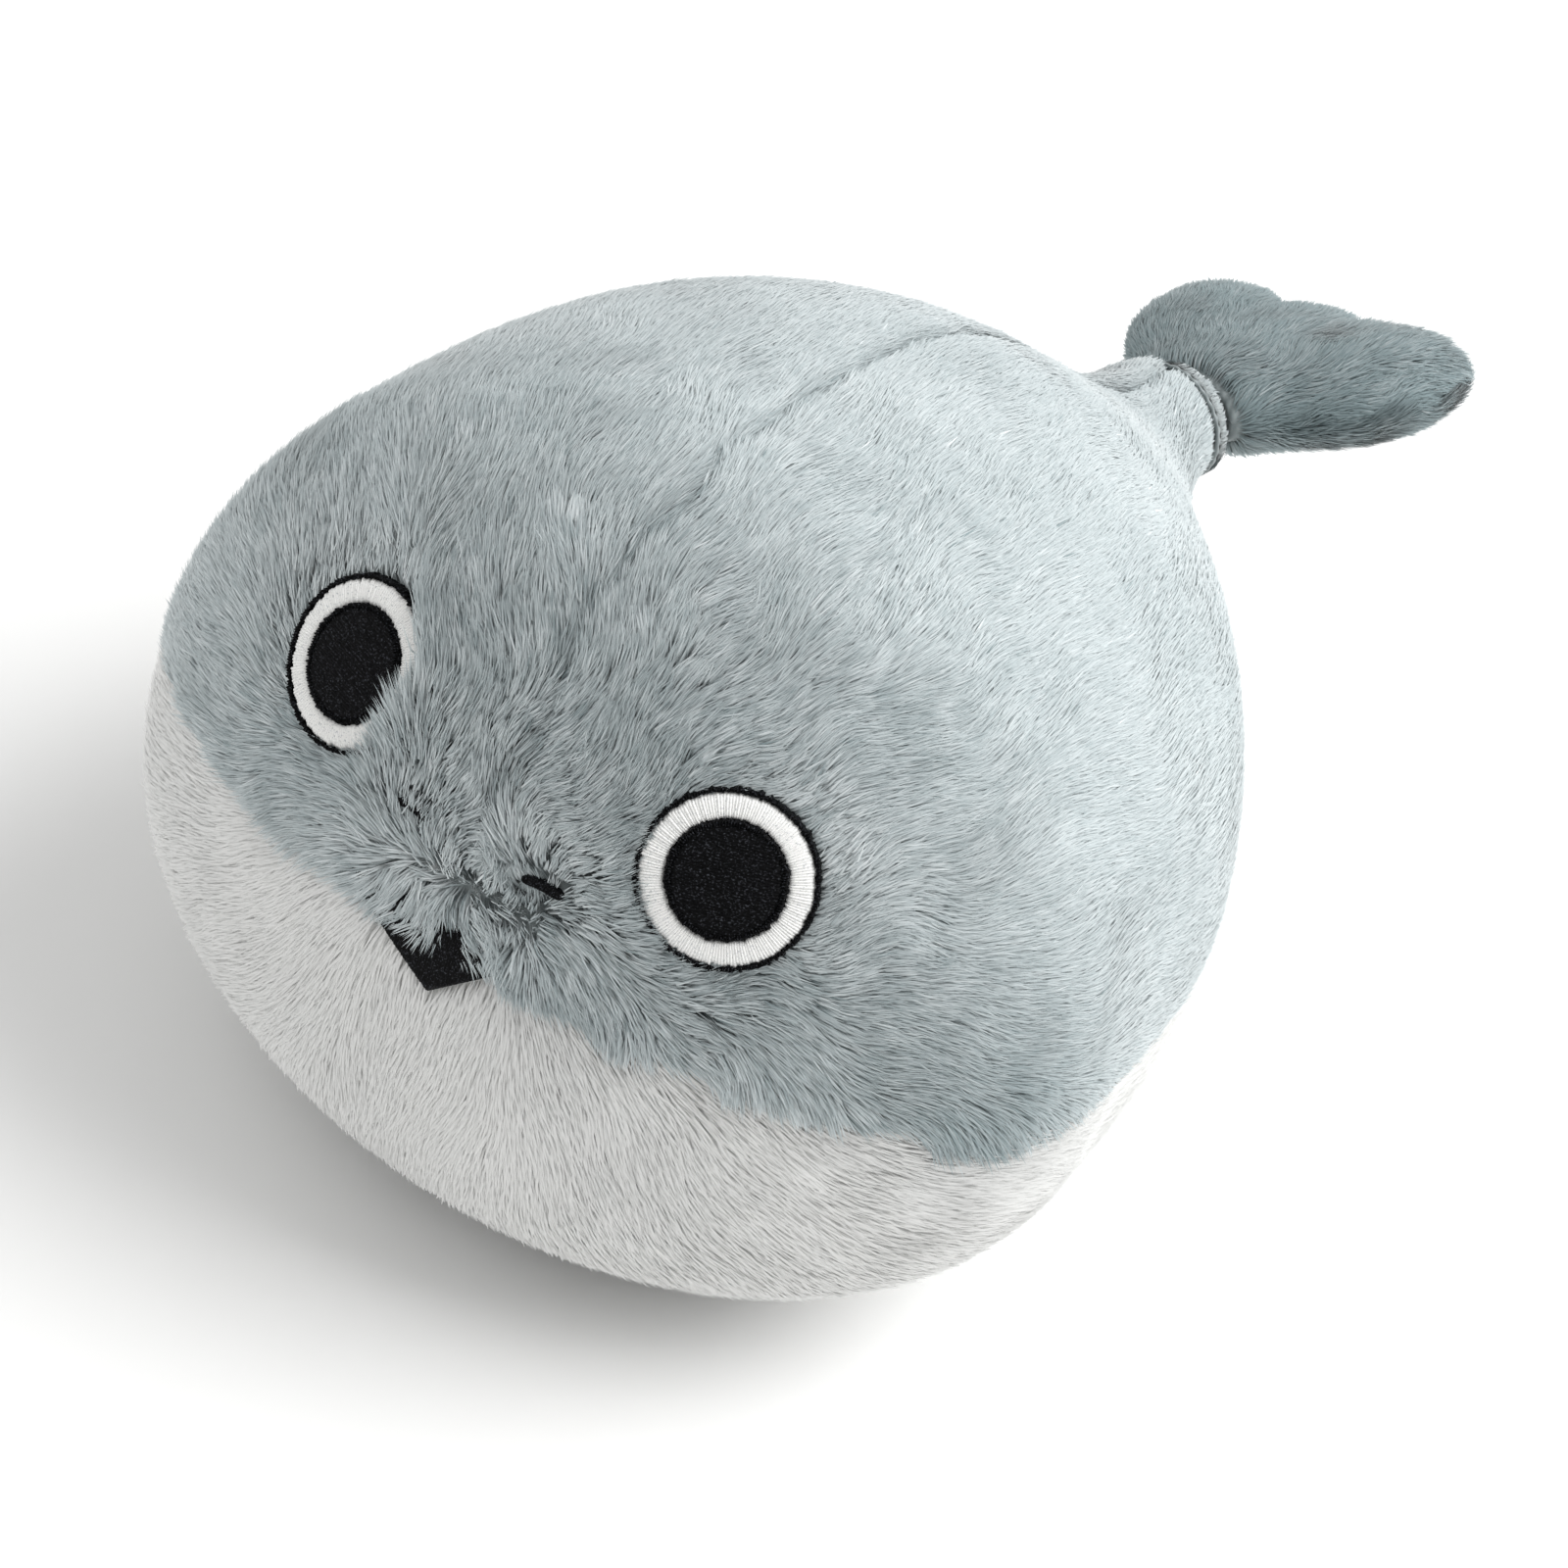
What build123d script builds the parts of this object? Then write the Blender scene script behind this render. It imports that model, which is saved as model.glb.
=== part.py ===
from build123d import *
import math
import os

# A stuffed toy fish with a round body, a white belly and a small two-lobed tail.
# The nose points along -Y, the tail along +Y and the fish's own left is +X. The
# origin is on the floor under the middle of the overall length and width.

# ---- Driving dimensions, in millimetres and degrees --------------------------

body_radius = 98.5        # half width of the body at its girth, over the fabric
nose_length = 67.5        # girth to the tip of the nose
rear_length = 210.0       # girth to where the tail stock would be slimmest
stock_radius = 15.8       # slimmest radius of the tail stock
rear_shape = 1.37         # above 1 keeps the body full behind the girth
lower_share = 0.672       # depth of the body below its axis, as a share of its radius
flat_depth = 4.0          # how far the weight of the toy flattens the belly

fabric = 3.0              # pile fabric with its pile pressed flat
ply_gap = 0.1             # between two plies that lie on each other
tape = 0.6                # stay tape and embroidery backing
stuffing_gap = 0.3        # between the inner plies and the stuffing

seam_at_nose = 29.5       # height of the side seam over the body's axis, at the nose
seam_fall = 3.0           # above 1 lets the seam drop early and level out towards the tail
tape_width = 7.0

eye_side_left = 39.5      # eye centres from the middle of the face: the toy is sewn
eye_side_right = 36.0     # by hand, and its left eye sits a little further out
eye_height = 57.0         # eye centres over the body's axis
eye_radius = 15.5
eye_outline = 0.9         # width of the thin dark ring round the white one
pupil_radius = 10.3
satin_stitch = 0.9        # height of the white satin ring over the fabric
dark_stitch = 1.1         # height of the dark embroidery
backing_margin = 4.0      # backing that shows inside round an embroidery

nostril_side = 13.0
nostril_height = 45.5
nostril_length = 8.0
nostril_width = 1.9
nostril_arch = 13.0       # bend radius of a nostril's bar

mouth_left = 13.5         # the mouth's two corners from the middle, at the side seam
mouth_right = 22.0
mouth_apex = 17.0         # height of the mouth's lowest point over the body's axis

pivot_y = 195.0           # girth to the middle of the round end of the tail stock
neck_gap = 0.5            # between the tail stock, the neck ring and the tail
neck_ring = 2.0           # gathered fabric between stock and tail
neck_ring_inner = 22.0    # angles from the tail's direction that the ring covers
neck_ring_outer = 44.0

tail_swing = 14.0         # the tail is sewn on turned towards the fish's left,
tail_roll = 22.0          # rolled so that its left lobe is the higher one,
tail_lift = 5.0           # and lifted a little
lobe_length = 28.5        # half lengths of a lobe: along it, across it, through it
lobe_breadth = 20.0
lobe_depth = 11.5
lobe_side = 18.0          # lobe centre from the tail's middle line
lobe_reach = 47.0         # lobe centre from the pivot
lobe_splay = 42.0         # a lobe's angle from the middle line
middle_breadth = 22.5     # half sizes of the tail's middle
middle_length = 30.5
middle_depth = 12.0
middle_reach = 41.0

stitch_count = 9          # ladder stitches that close the stuffing opening
stitch_pitch = 6.0
stitch_length = 5.0
stitch_width = 0.8
stitch_height = 0.5
opening_y = 90.0          # middle of the opening, behind the girth, on the right side

label_width = 14.0
label_length = 22.0
label_thickness = 0.5
label_y = 138.0           # behind the girth, in the right side seam
label_inside = 2.5        # held between the panels, less than their thickness

# ---- Places that follow from the driving dimensions --------------------------

tape_inset = fabric + ply_gap
stuffing_inset = tape_inset + tape + stuffing_gap


def rear_radius(y):
    """Radius behind the girth: half a cosine wave from full size to the slim stock."""
    wave = (1 + math.cos(math.pi * (y / rear_length) ** rear_shape)) / 2
    return stock_radius + (body_radius - stock_radius) * wave


def seam_height(y):
    """Height of the side seam over the body's axis: a power curve that is level at the tail."""
    left = (rear_length - y) / (rear_length + nose_length)
    return seam_at_nose * left**seam_fall


dome_radius = rear_radius(pivot_y)
ring_radius = dome_radius + neck_gap
cup_radius = ring_radius + neck_ring + neck_gap
span_way = Vector(1, 0, 0).rotate(Axis.Y, -tail_roll).rotate(Axis.X, tail_lift).rotate(Axis.Z, -tail_swing)
tail_way = Vector(0, 1, 0).rotate(Axis.X, tail_lift).rotate(Axis.Z, -tail_swing)
tail_up = span_way.cross(tail_way)


def tail_reach(side, along, semi_along, semi_across, semi_deep, splay):
    """How far an ellipsoid of the tail reaches along +Y from the pivot."""
    long_way = tail_way * math.cos(math.radians(splay)) + span_way * math.sin(math.radians(splay))
    cross_way = span_way * math.cos(math.radians(splay)) - tail_way * math.sin(math.radians(splay))
    centre = span_way * side + tail_way * along
    ways = [long_way * semi_along, cross_way * semi_across, tail_up * semi_deep]
    return centre.Y + math.sqrt(sum(way.Y**2 for way in ways))


tail_end = pivot_y + max(
    tail_reach(side * lobe_side, lobe_reach, lobe_length, lobe_breadth, lobe_depth, side * lobe_splay)
    for side in (-1, 1)
)
girth_y = (nose_length - tail_end) / 2
axis_height = body_radius * lower_share - flat_depth
girth = Vector(0, girth_y, axis_height)
pivot = girth + Vector(0, pivot_y, 0)
tail_plane = Plane(origin=pivot, x_dir=span_way, z_dir=tail_up)
neck_plane = Plane(origin=pivot, x_dir=tail_up, z_dir=tail_way)
side_plane = Plane(origin=girth, x_dir=(0, 1, 0), z_dir=(1, 0, 0))
front_plane = Plane(origin=girth, x_dir=(1, 0, 0), z_dir=(0, -1, 0))


def face_plane(side, height):
    """A plane that lies on the front of the body, looking straight out of it."""
    y = -nose_length * math.sqrt(1 - (side**2 + height**2) / body_radius**2)
    outward = Vector(side / body_radius**2, y / nose_length**2, height / body_radius**2)
    level = Vector(-outward.Y, outward.X, 0)
    return Plane(origin=girth + Vector(side, y, height), x_dir=level, z_dir=outward)


# ---- Solids that several pieces are cut from ---------------------------------


def body_profile(inset):
    """Half of the body's plan, closed along the axis: an elliptic nose, a rear that waves in to the stock."""
    steps = 8
    rear = [(y, rear_radius(y) - inset) for y in (pivot_y * n / steps for n in range(steps + 1))]
    with BuildSketch(Plane(origin=(0, 0, 0), x_dir=(0, 1, 0), z_dir=(0, 0, 1))) as profile:
        with BuildLine():
            EllipticalCenterArc(
                (0, 0), nose_length - inset, body_radius - inset, start_angle=90, arc_size=90
            )
            Spline(*rear, tangents=[(1, 0), (1, -0.2)])
            Line(rear[-1], (pivot_y, 0))
            Line((pivot_y, 0), (inset - nose_length, 0))
        make_face()
    return profile.sketch


def body_solid(inset):
    """The whole body, a given distance inside the outer face of its fabric."""
    with BuildPart() as lower:
        revolve(body_profile(inset), axis=Axis.Y, revolution_arc=-180)
        scale(by=(1, 1, lower_share))
    with BuildPart() as whole:
        revolve(body_profile(inset), axis=Axis.Y, revolution_arc=180)
        add(lower.part)
        with BuildSketch(Plane(origin=(0, 0, 0), x_dir=(0, 1, 0), z_dir=(0, 0, 1))):
            core_start = pivot_y - 2.4 * dome_radius
            core_radius = 1.35 * dome_radius - inset
            with BuildLine():
                Polyline(
                    (core_start, 0),
                    (core_start, core_radius),
                    (pivot_y, dome_radius - inset),
                    (pivot_y, 0),
                    close=True,
                )
            make_face()
        revolve(axis=Axis.Y)
        with Locations((0, pivot_y, 0)):
            Sphere(dome_radius - inset)
    placed = whole.part.moved(Location(girth))
    with BuildPart() as standing:
        add(placed)
        split(bisect_by=Plane.XY.offset(inset), keep=Keep.TOP)
    return standing.part


def ellipsoid(along, across, deep):
    """A solid with half lengths across X, along Y and deep Z."""
    with BuildPart() as egg:
        with BuildSketch():
            with BuildLine():
                EllipticalCenterArc((0, 0), across, along, start_angle=-90, arc_size=180)
                Line((0, along), (0, -along))
            make_face()
        revolve(axis=Axis.Y)
        scale(by=(1, 1, deep / across))
    return egg.part


def tail_solid(inset):
    """The tail's two lobes and its middle, hollowed at the root to turn about the stock's round end."""
    lobe = ellipsoid(lobe_length - inset, lobe_breadth - inset, lobe_depth - inset)
    middle = ellipsoid(middle_length - inset, middle_breadth - inset, middle_depth - inset)
    with BuildPart() as fluke:
        with Locations(tail_plane.location):
            for side in (-1, 1):
                with Locations(Location((side * lobe_side, lobe_reach, 0), (0, 0, -side * lobe_splay))):
                    add(lobe)
            with Locations((0, middle_reach, 0)):
                add(middle)
        with Locations(pivot):
            Sphere(cup_radius + inset, mode=Mode.SUBTRACT)
    return fluke.part


skin_outside = body_solid(0)
skin_inside = body_solid(fabric)
tape_outside = body_solid(tape_inset)
tape_inside = body_solid(tape_inset + tape)
wide = 2 * body_radius

with BuildPart() as under_seam:
    with BuildSketch(side_plane):
        with BuildLine():
            stations = [-nose_length - fabric + n / 8 * (nose_length + rear_length) for n in range(9)]
            seam_points = [(y, seam_height(y)) for y in stations]
            Spline(*seam_points)
            far_end = rear_length + 2 * dome_radius
            Polyline(seam_points[-1], (far_end, 0), (far_end, -wide), (-wide, -wide))
            Polyline((-wide, -wide), (-wide, seam_at_nose), seam_points[0])
        make_face()
    extrude(amount=wide, both=True)

pieces = {}

# ---- A blank care label, held in the right side seam -------------------------

label_foot = Vector(-rear_radius(label_y), label_y, seam_height(label_y))
label_slope = (rear_radius(label_y + 1) - rear_radius(label_y - 1)) / 2
label_plane = Plane(origin=girth + label_foot, x_dir=(-1, -label_slope, 0), z_dir=(0, 0, 1))

with BuildPart() as care_label:
    with BuildSketch(label_plane.offset(-label_thickness / 2)):
        with Locations((-label_inside, 0)):
            Rectangle(label_length, label_width, align=(Align.MIN, Align.CENTER))
    extrude(amount=label_thickness)
pieces["care_label"] = care_label

# ---- Body: three fabric panels over one stuffing -----------------------------

for side, name in ((1, "left"), (-1, "right")):
    with BuildPart() as back_panel:
        add(skin_outside)
        add(skin_inside, mode=Mode.SUBTRACT)
        add(under_seam.part, mode=Mode.SUBTRACT)
        add(care_label.part, mode=Mode.SUBTRACT)
        split(bisect_by=Plane.YZ, keep=Keep.TOP if side > 0 else Keep.BOTTOM)
    pieces[f"back_panel_{name}"] = back_panel

with BuildPart() as belly_panel:
    add(skin_outside)
    add(skin_inside, mode=Mode.SUBTRACT)
    add(under_seam.part, mode=Mode.INTERSECT)
    add(care_label.part, mode=Mode.SUBTRACT)
pieces["belly_panel"] = belly_panel

with BuildPart() as body_stuffing:
    add(body_solid(stuffing_inset))
pieces["body_stuffing"] = body_stuffing

# A stay tape backs the seam along the back, and another the seam round the sides.
with BuildPart() as back_seam_tape:
    add(tape_outside)
    add(tape_inside, mode=Mode.SUBTRACT)
    with Locations(girth):
        Box(tape_width, wide * 3, wide * 3, mode=Mode.INTERSECT)
    with Locations((0, 0, tape_width)):
        add(under_seam.part, mode=Mode.SUBTRACT)
pieces["back_seam_tape"] = back_seam_tape

with BuildPart() as side_seam_tape:
    add(tape_outside)
    add(tape_inside, mode=Mode.SUBTRACT)
    with Locations((0, 0, tape_width / 2)):
        add(under_seam.part, mode=Mode.INTERSECT)
    with Locations((0, 0, -tape_width / 2)):
        add(under_seam.part, mode=Mode.SUBTRACT)
pieces["side_seam_tape"] = side_seam_tape

# ---- Face: embroidery on the skin and its backing under it -------------------

white_stitches = body_solid(-satin_stitch)
dark_stitches = body_solid(-dark_stitch)


def disc(plane, outer, inner, upper, lower):
    """What lies between two body solids inside a round punch, or a ring-shaped one."""
    with BuildPart() as piece:
        with BuildSketch(plane):
            Circle(outer)
            if inner:
                Circle(inner, mode=Mode.SUBTRACT)
        extrude(amount=outer, both=True)
        add(upper, mode=Mode.INTERSECT)
        add(lower, mode=Mode.SUBTRACT)
    return piece


bend = math.degrees(nostril_length / nostril_arch)
nostril_line = CenterArc((0, -nostril_arch), nostril_arch, 90 - bend / 2, bend)

for side, eye_side, name in ((1, eye_side_left, "left"), (-1, eye_side_right, "right")):
    eye = face_plane(side * eye_side, eye_height)
    white_radius = eye_radius - eye_outline
    pieces[f"eye_rim_{name}"] = disc(eye, eye_radius, white_radius, dark_stitches, skin_outside)
    pieces[f"eye_white_{name}"] = disc(eye, white_radius, pupil_radius, white_stitches, skin_outside)
    pieces[f"pupil_{name}"] = disc(eye, pupil_radius, 0, dark_stitches, skin_outside)
    backing_radius = eye_radius + backing_margin
    pieces[f"eye_backing_{name}"] = disc(eye, backing_radius, 0, tape_outside, tape_inside)

    with BuildPart() as nostril:
        with BuildSketch(face_plane(side * nostril_side, nostril_height)):
            SlotArc(nostril_line, nostril_width)
        extrude(amount=nostril_length, both=True)
        add(dark_stitches, mode=Mode.INTERSECT)
        add(skin_outside, mode=Mode.SUBTRACT)
    pieces[f"nostril_{name}"] = nostril


def mouth_triangle(margin, upper, lower, seam_drop):
    """The mouth's triangle, wider by a margin, between two body solids and some way below the side seam."""
    brow = seam_at_nose + margin
    with BuildPart() as piece:
        with BuildSketch(front_plane):
            with BuildLine():
                Polyline(
                    (-mouth_right - margin, brow),
                    (0, mouth_apex - margin),
                    (mouth_left + margin, brow),
                    close=True,
                )
            make_face()
        extrude(amount=nose_length + dark_stitch)
        add(upper, mode=Mode.INTERSECT)
        add(lower, mode=Mode.SUBTRACT)
        with Locations((0, 0, -seam_drop)):
            add(under_seam.part, mode=Mode.INTERSECT)
    return piece


pieces["mouth_patch"] = mouth_triangle(0, dark_stitches, skin_outside, 0)
pieces["mouth_backing"] = mouth_triangle(backing_margin, tape_outside, tape_inside, tape_width / 2 + ply_gap)

# ---- Ladder stitches that close the stuffing opening in the right side seam ---

stitches_outside = body_solid(-stitch_height)
with BuildPart() as closing_stitches:
    for n in range(stitch_count):
        y = opening_y + (n - (stitch_count - 1) / 2) * stitch_pitch
        with Locations(girth + Vector(-body_radius, y, seam_height(y))):
            Box(2 * body_radius, stitch_width, stitch_length)
    add(stitches_outside, mode=Mode.INTERSECT)
    add(skin_outside, mode=Mode.SUBTRACT)
pieces["closing_stitches"] = closing_stitches

# ---- Neck ring: gathered fabric that follows the tail's sway -----------------


def ring_sector(radius):
    """A ball round the pivot, cut to the cone-shaped zone that the neck ring covers."""
    outer = math.radians(neck_ring_outer)
    inner = math.radians(neck_ring_inner)
    with BuildPart() as zone:
        with BuildSketch(neck_plane):
            Circle(radius * math.sin(outer))
            Circle(radius * math.sin(inner), mode=Mode.SUBTRACT)
        extrude(amount=radius)
        with Locations(pivot):
            Sphere(radius, mode=Mode.INTERSECT)
    return zone.part


with BuildPart() as tail_neck_ring:
    add(ring_sector(ring_radius + neck_ring))
    with Locations(pivot):
        Sphere(ring_radius, mode=Mode.SUBTRACT)
pieces["tail_neck_ring"] = tail_neck_ring

# ---- Tail: an upper and a lower panel over their own stuffing ----------------

tail_skin = tail_solid(0)
tail_skin_inside = tail_solid(fabric)
for up, name in ((True, "upper"), (False, "lower")):
    with BuildPart() as tail_panel:
        add(tail_skin)
        add(tail_skin_inside, mode=Mode.SUBTRACT)
        split(bisect_by=tail_plane, keep=Keep.TOP if up else Keep.BOTTOM)
    pieces[f"tail_panel_{name}"] = tail_panel

with BuildPart() as tail_seam_tape:
    add(tail_solid(tape_inset))
    add(tail_solid(tape_inset + tape), mode=Mode.SUBTRACT)
    split(bisect_by=tail_plane.offset(tape_width / 2), keep=Keep.BOTTOM)
    split(bisect_by=tail_plane.offset(-tape_width / 2), keep=Keep.TOP)
pieces["tail_seam_tape"] = tail_seam_tape

with BuildPart() as tail_stuffing:
    add(tail_solid(stuffing_inset))
pieces["tail_stuffing"] = tail_stuffing

# ---- Write one STEP file for each piece --------------------------------------

os.makedirs("parts", exist_ok=True)
for name, piece in pieces.items():
    piece.part.label = name
    export_step(piece.part, f"parts/{name}.step")
    print(name, round(piece.part.volume), "mm3,", len(piece.part.solids()), "solid")
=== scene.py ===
# %% [markdown]
# A stuffed toy fish, seen as a maker sees it. The real one is cut from pile fabric in three panels, two grey
# ones for the back and a white one for the belly, sewn, turned, stuffed and closed by hand. Its eyes, nostrils
# and mouth are embroidered before the panels are sewn. This lesson makes the same things in the same order:
# the stuffed skins first, then the embroidery, then the pile, hair by hair.
#
# Lengths are in metres and angles in radians from here on. -Y is the way that the toy looks, +X is its left.

# %% Load the fixed frame
import math

import bpy
import numpy as np
from mathutils import Matrix, Vector


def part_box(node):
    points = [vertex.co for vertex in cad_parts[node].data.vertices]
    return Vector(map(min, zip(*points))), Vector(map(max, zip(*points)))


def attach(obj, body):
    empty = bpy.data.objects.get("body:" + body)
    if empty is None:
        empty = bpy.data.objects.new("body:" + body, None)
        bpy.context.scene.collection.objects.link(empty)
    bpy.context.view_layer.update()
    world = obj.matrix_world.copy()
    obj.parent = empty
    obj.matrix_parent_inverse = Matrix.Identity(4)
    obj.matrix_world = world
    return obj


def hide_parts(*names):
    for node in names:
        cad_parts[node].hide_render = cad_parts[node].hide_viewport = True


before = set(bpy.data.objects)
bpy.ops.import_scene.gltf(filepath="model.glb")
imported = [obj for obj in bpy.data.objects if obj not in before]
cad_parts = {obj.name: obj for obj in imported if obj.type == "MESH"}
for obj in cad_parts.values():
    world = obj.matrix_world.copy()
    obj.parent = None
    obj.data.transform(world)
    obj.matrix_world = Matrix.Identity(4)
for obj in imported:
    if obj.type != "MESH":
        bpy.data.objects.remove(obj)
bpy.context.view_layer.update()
MM = 0.001

# %% [markdown]
# The toy's sizes. They repeat the driving dimensions of the solid model, because both describe one object: a
# body as round as a ball in front that narrows behind in half a wave, and a belly that is flatter than the back.

# %% The toy's own sizes
BODY_RADIUS = 98.5 * MM
NOSE_LENGTH = 67.5 * MM
REAR_LENGTH = 210.0 * MM
STOCK_RADIUS = 15.8 * MM
REAR_SHAPE = 1.37
LOWER_SHARE = 0.672
FLAT_DEPTH = 4.0 * MM
SEAM_AT_NOSE = 29.5 * MM
SEAM_FALL = 3.0
PIVOT_Y = 195.0 * MM
AXIS_HEIGHT = BODY_RADIUS * LOWER_SHARE - FLAT_DEPTH
GIRTH_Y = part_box("belly_panel")[0].y + NOSE_LENGTH
GIRTH = np.array([0.0, GIRTH_Y, AXIS_HEIGHT])
print("the girth is at y =", round(GIRTH_Y / MM, 1), "mm, the body's axis at z =", round(AXIS_HEIGHT / MM, 1), "mm")

# %% [markdown]
# The camera stands in front of the toy, on its left and well above it, and it is tilted a little, as a hand
# held one is. The lens is long, so the near eye isn't much larger than the far one. The camera is aimed a little
# off the body's middle, so that the tail is in the picture too.

# %% Camera
AZIMUTH, ELEVATION, ROLL = math.radians(24.72), math.radians(41.23), math.radians(14.26)
DISTANCE = 776.2 * MM
level_reach = math.cos(ELEVATION)
back = Vector((math.sin(AZIMUTH) * level_reach, -math.cos(AZIMUTH) * level_reach, math.sin(ELEVATION)))
level = Vector((math.cos(AZIMUTH), math.sin(AZIMUTH), 0))
upward = back.cross(level)
right = level * math.cos(ROLL) + upward * math.sin(ROLL)
top = upward * math.cos(ROLL) - level * math.sin(ROLL)
SENSOR, FOCAL_SHARE = 36, 5.427 / 2
AIM_RIGHT, AIM_UP = 0.1, 0.0589
camera = bpy.data.objects.new("camera", bpy.data.cameras.new("camera"))
bpy.context.scene.collection.objects.link(camera)
bpy.context.scene.camera = camera
camera.data.sensor_width = SENSOR
camera.data.lens = SENSOR * FOCAL_SHARE
eye_point = Vector(GIRTH) + back * DISTANCE
forward = -back + right * (AIM_RIGHT / FOCAL_SHARE) + top * (AIM_UP / FOCAL_SHARE)
forward.normalize()
side_way = forward.cross(top).normalized()
camera.matrix_world = Matrix.Translation(eye_point) @ Matrix(
    (side_way, side_way.cross(forward), -forward)
).transposed().to_4x4()
print("the lens is", round(camera.data.lens), "mm long, and the camera stands", round(DISTANCE, 3), "m away")

# %% [markdown]
# A toy like this is shown on a pale sweep under large soft lamps. The strongest one stands behind the toy on its
# left, which brightens the back and leaves the face in gentle shade, so the eyes stand out.

# %% Floor and lights
scene = bpy.context.scene
scene.view_settings.view_transform = "Standard"


def link(thing):
    """Puts a new object in the scene and gives it back."""
    scene.collection.objects.link(thing)
    return thing


def linear(hex_colour):
    """Turns an sRGB hex colour to linear light: the power curve of the standard, channel by channel."""
    parts = [int(hex_colour[n : n + 2], 16) / 255 for n in (1, 3, 5)]
    return tuple(c / 12.92 if c <= 0.04045 else ((c + 0.055) / 1.055) ** 2.4 for c in parts)


def soft_lamp(name, azimuth, height, distance, size, watts):
    """A square lamp that looks at the toy's middle, from an azimuth and a height in degrees."""
    lamp = link(bpy.data.objects.new(name, bpy.data.lights.new(name, "AREA")))
    lamp.data.size = size
    lamp.data.energy = watts
    turn, rise = math.radians(azimuth), math.radians(height)
    way = Vector((math.sin(turn) * math.cos(rise), -math.cos(turn) * math.cos(rise), math.sin(rise)))
    lamp.location = Vector(GIRTH) + way * distance
    lamp.rotation_mode = "QUATERNION"
    lamp.rotation_quaternion = way.to_track_quat("Z", "Y")
    return lamp


soft_lamp("key_lamp", 118, 52, 1.6, 1.3, 29.5)
soft_lamp("front_lamp", -60, 40, 1.8, 1.8, 8)
world = bpy.data.worlds.new("pale_room")
scene.world = world
world.use_nodes = True
world.node_tree.nodes["Background"].inputs["Color"].default_value = (1, 1, 1, 1)
world.node_tree.nodes["Background"].inputs["Strength"].default_value = 0.54

# %% [markdown]
# Everything new is a mesh made from whole arrays of points and faces. A material here is a small chain of nodes,
# and one function adds a node, sets it and links it. A value that is the same all over goes on the shader's socket.

# %% Helpers for meshes and materials


def mesh_piece(name, points, *face_sets, smooth=True):
    """A mesh object from an array of points and arrays of faces, each with its own number of corners a face."""
    mesh = bpy.data.meshes.new(name)
    corners = np.concatenate([faces.ravel() for faces in face_sets])
    sides = np.concatenate([np.full(len(faces), faces.shape[1]) for faces in face_sets])
    mesh.vertices.add(len(points))
    mesh.vertices.foreach_set("co", np.ascontiguousarray(points, np.float32).ravel())
    mesh.loops.add(len(corners))
    mesh.loops.foreach_set("vertex_index", corners.astype(np.int32))
    mesh.polygons.add(len(sides))
    mesh.polygons.foreach_set("loop_start", (np.cumsum(sides) - sides).astype(np.int32))
    mesh.polygons.foreach_set("use_smooth", np.full(len(sides), smooth))
    mesh.update(calc_edges=True)
    return link(bpy.data.objects.new(name, mesh))


def grid_faces(rows, columns, closed=True, closed_rows=False):
    """Quads of a grid of points, row by row; closed joins the last column to the first, and closed_rows the rows."""
    tall = rows if closed_rows else rows - 1
    wide = columns if closed else columns - 1
    r, c = np.meshgrid(np.arange(tall), np.arange(wide), indexing="ij")
    over, along = (r + 1) % rows, (c + 1) % columns
    quads = [r * columns + c, over * columns + c, over * columns + along, r * columns + along]
    return np.stack(quads, -1).reshape(-1, 4)


def pole_faces(rows, columns):
    """Two fans that close a grid of rings: the poles are the two points after the grid's own."""
    ring = np.arange(columns)
    after = (ring + 1) % columns
    first, last = np.full(columns, rows * columns), np.full(columns, rows * columns + 1)
    end = (rows - 1) * columns
    return np.concatenate([np.stack([ring, after, first], -1), np.stack([end + after, end + ring, last], -1)])


def add_node(material, kind, links=(), **settings):
    """Adds a node of a kind, sets its sockets and properties, and links (socket, source) pairs into it."""
    node = material.node_tree.nodes.new(kind)
    for key, value in settings.items():
        if hasattr(node, key):
            setattr(node, key, value)
        else:
            node.inputs[key.replace("_", " ")].default_value = value
    for socket, source in links:
        material.node_tree.links.new(source, node.inputs[socket])
    return node


def new_material(name, **sockets):
    """A material with a Principled shader, whose own sockets hold every value that is the same all over."""
    material = bpy.data.materials.new(name)
    material.use_nodes = True
    shader = material.node_tree.nodes["Principled BSDF"]
    for key, value in sockets.items():
        shader.inputs[key.replace("_", " ")].default_value = value
    return material, shader


def two_tones(material, shader, factor, first, second, height, **bump_settings):
    """Colours a shader from one sRGB colour to another by a factor, and raises a pattern's height as bump."""
    mix = add_node(material, "ShaderNodeMix", [("Factor", factor)], data_type="RGBA")
    mix.inputs[6].default_value = (*linear(first), 1)
    mix.inputs[7].default_value = (*linear(second), 1)
    bump = add_node(material, "ShaderNodeBump", [("Height", height)], **bump_settings)
    material.node_tree.links.new(mix.outputs[2], shader.inputs["Base Color"])
    material.node_tree.links.new(bump.outputs["Normal"], shader.inputs["Normal"])


FLOOR_HALF = 9.0
corners = np.array([(-1, -1, 0), (1, -1, 0), (1, 1, 0), (-1, 1, 0)]) * FLOOR_HALF
floor = mesh_piece("floor", corners, np.array([[0, 1, 2, 3]]))
floor_material, floor_shader = new_material("pale_paper", Roughness=0.9)
floor_shader.inputs["Base Color"].default_value = (*linear("#f6f6f5"), 1)
floor.data.materials.append(floor_material)
print("the floor is", floor.dimensions.x, "m wide")

# %% [markdown]
# The stuffed body. On the real toy three flat panels become round when fibre is pushed in through a gap in the
# seam. Its form is a surface of two parameters: a place along the axis, and an angle round it. The nose is a
# quarter ellipse, the rear is half a cosine wave, and the end of the tail stock is a quarter circle.

# %% The body's form


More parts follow.
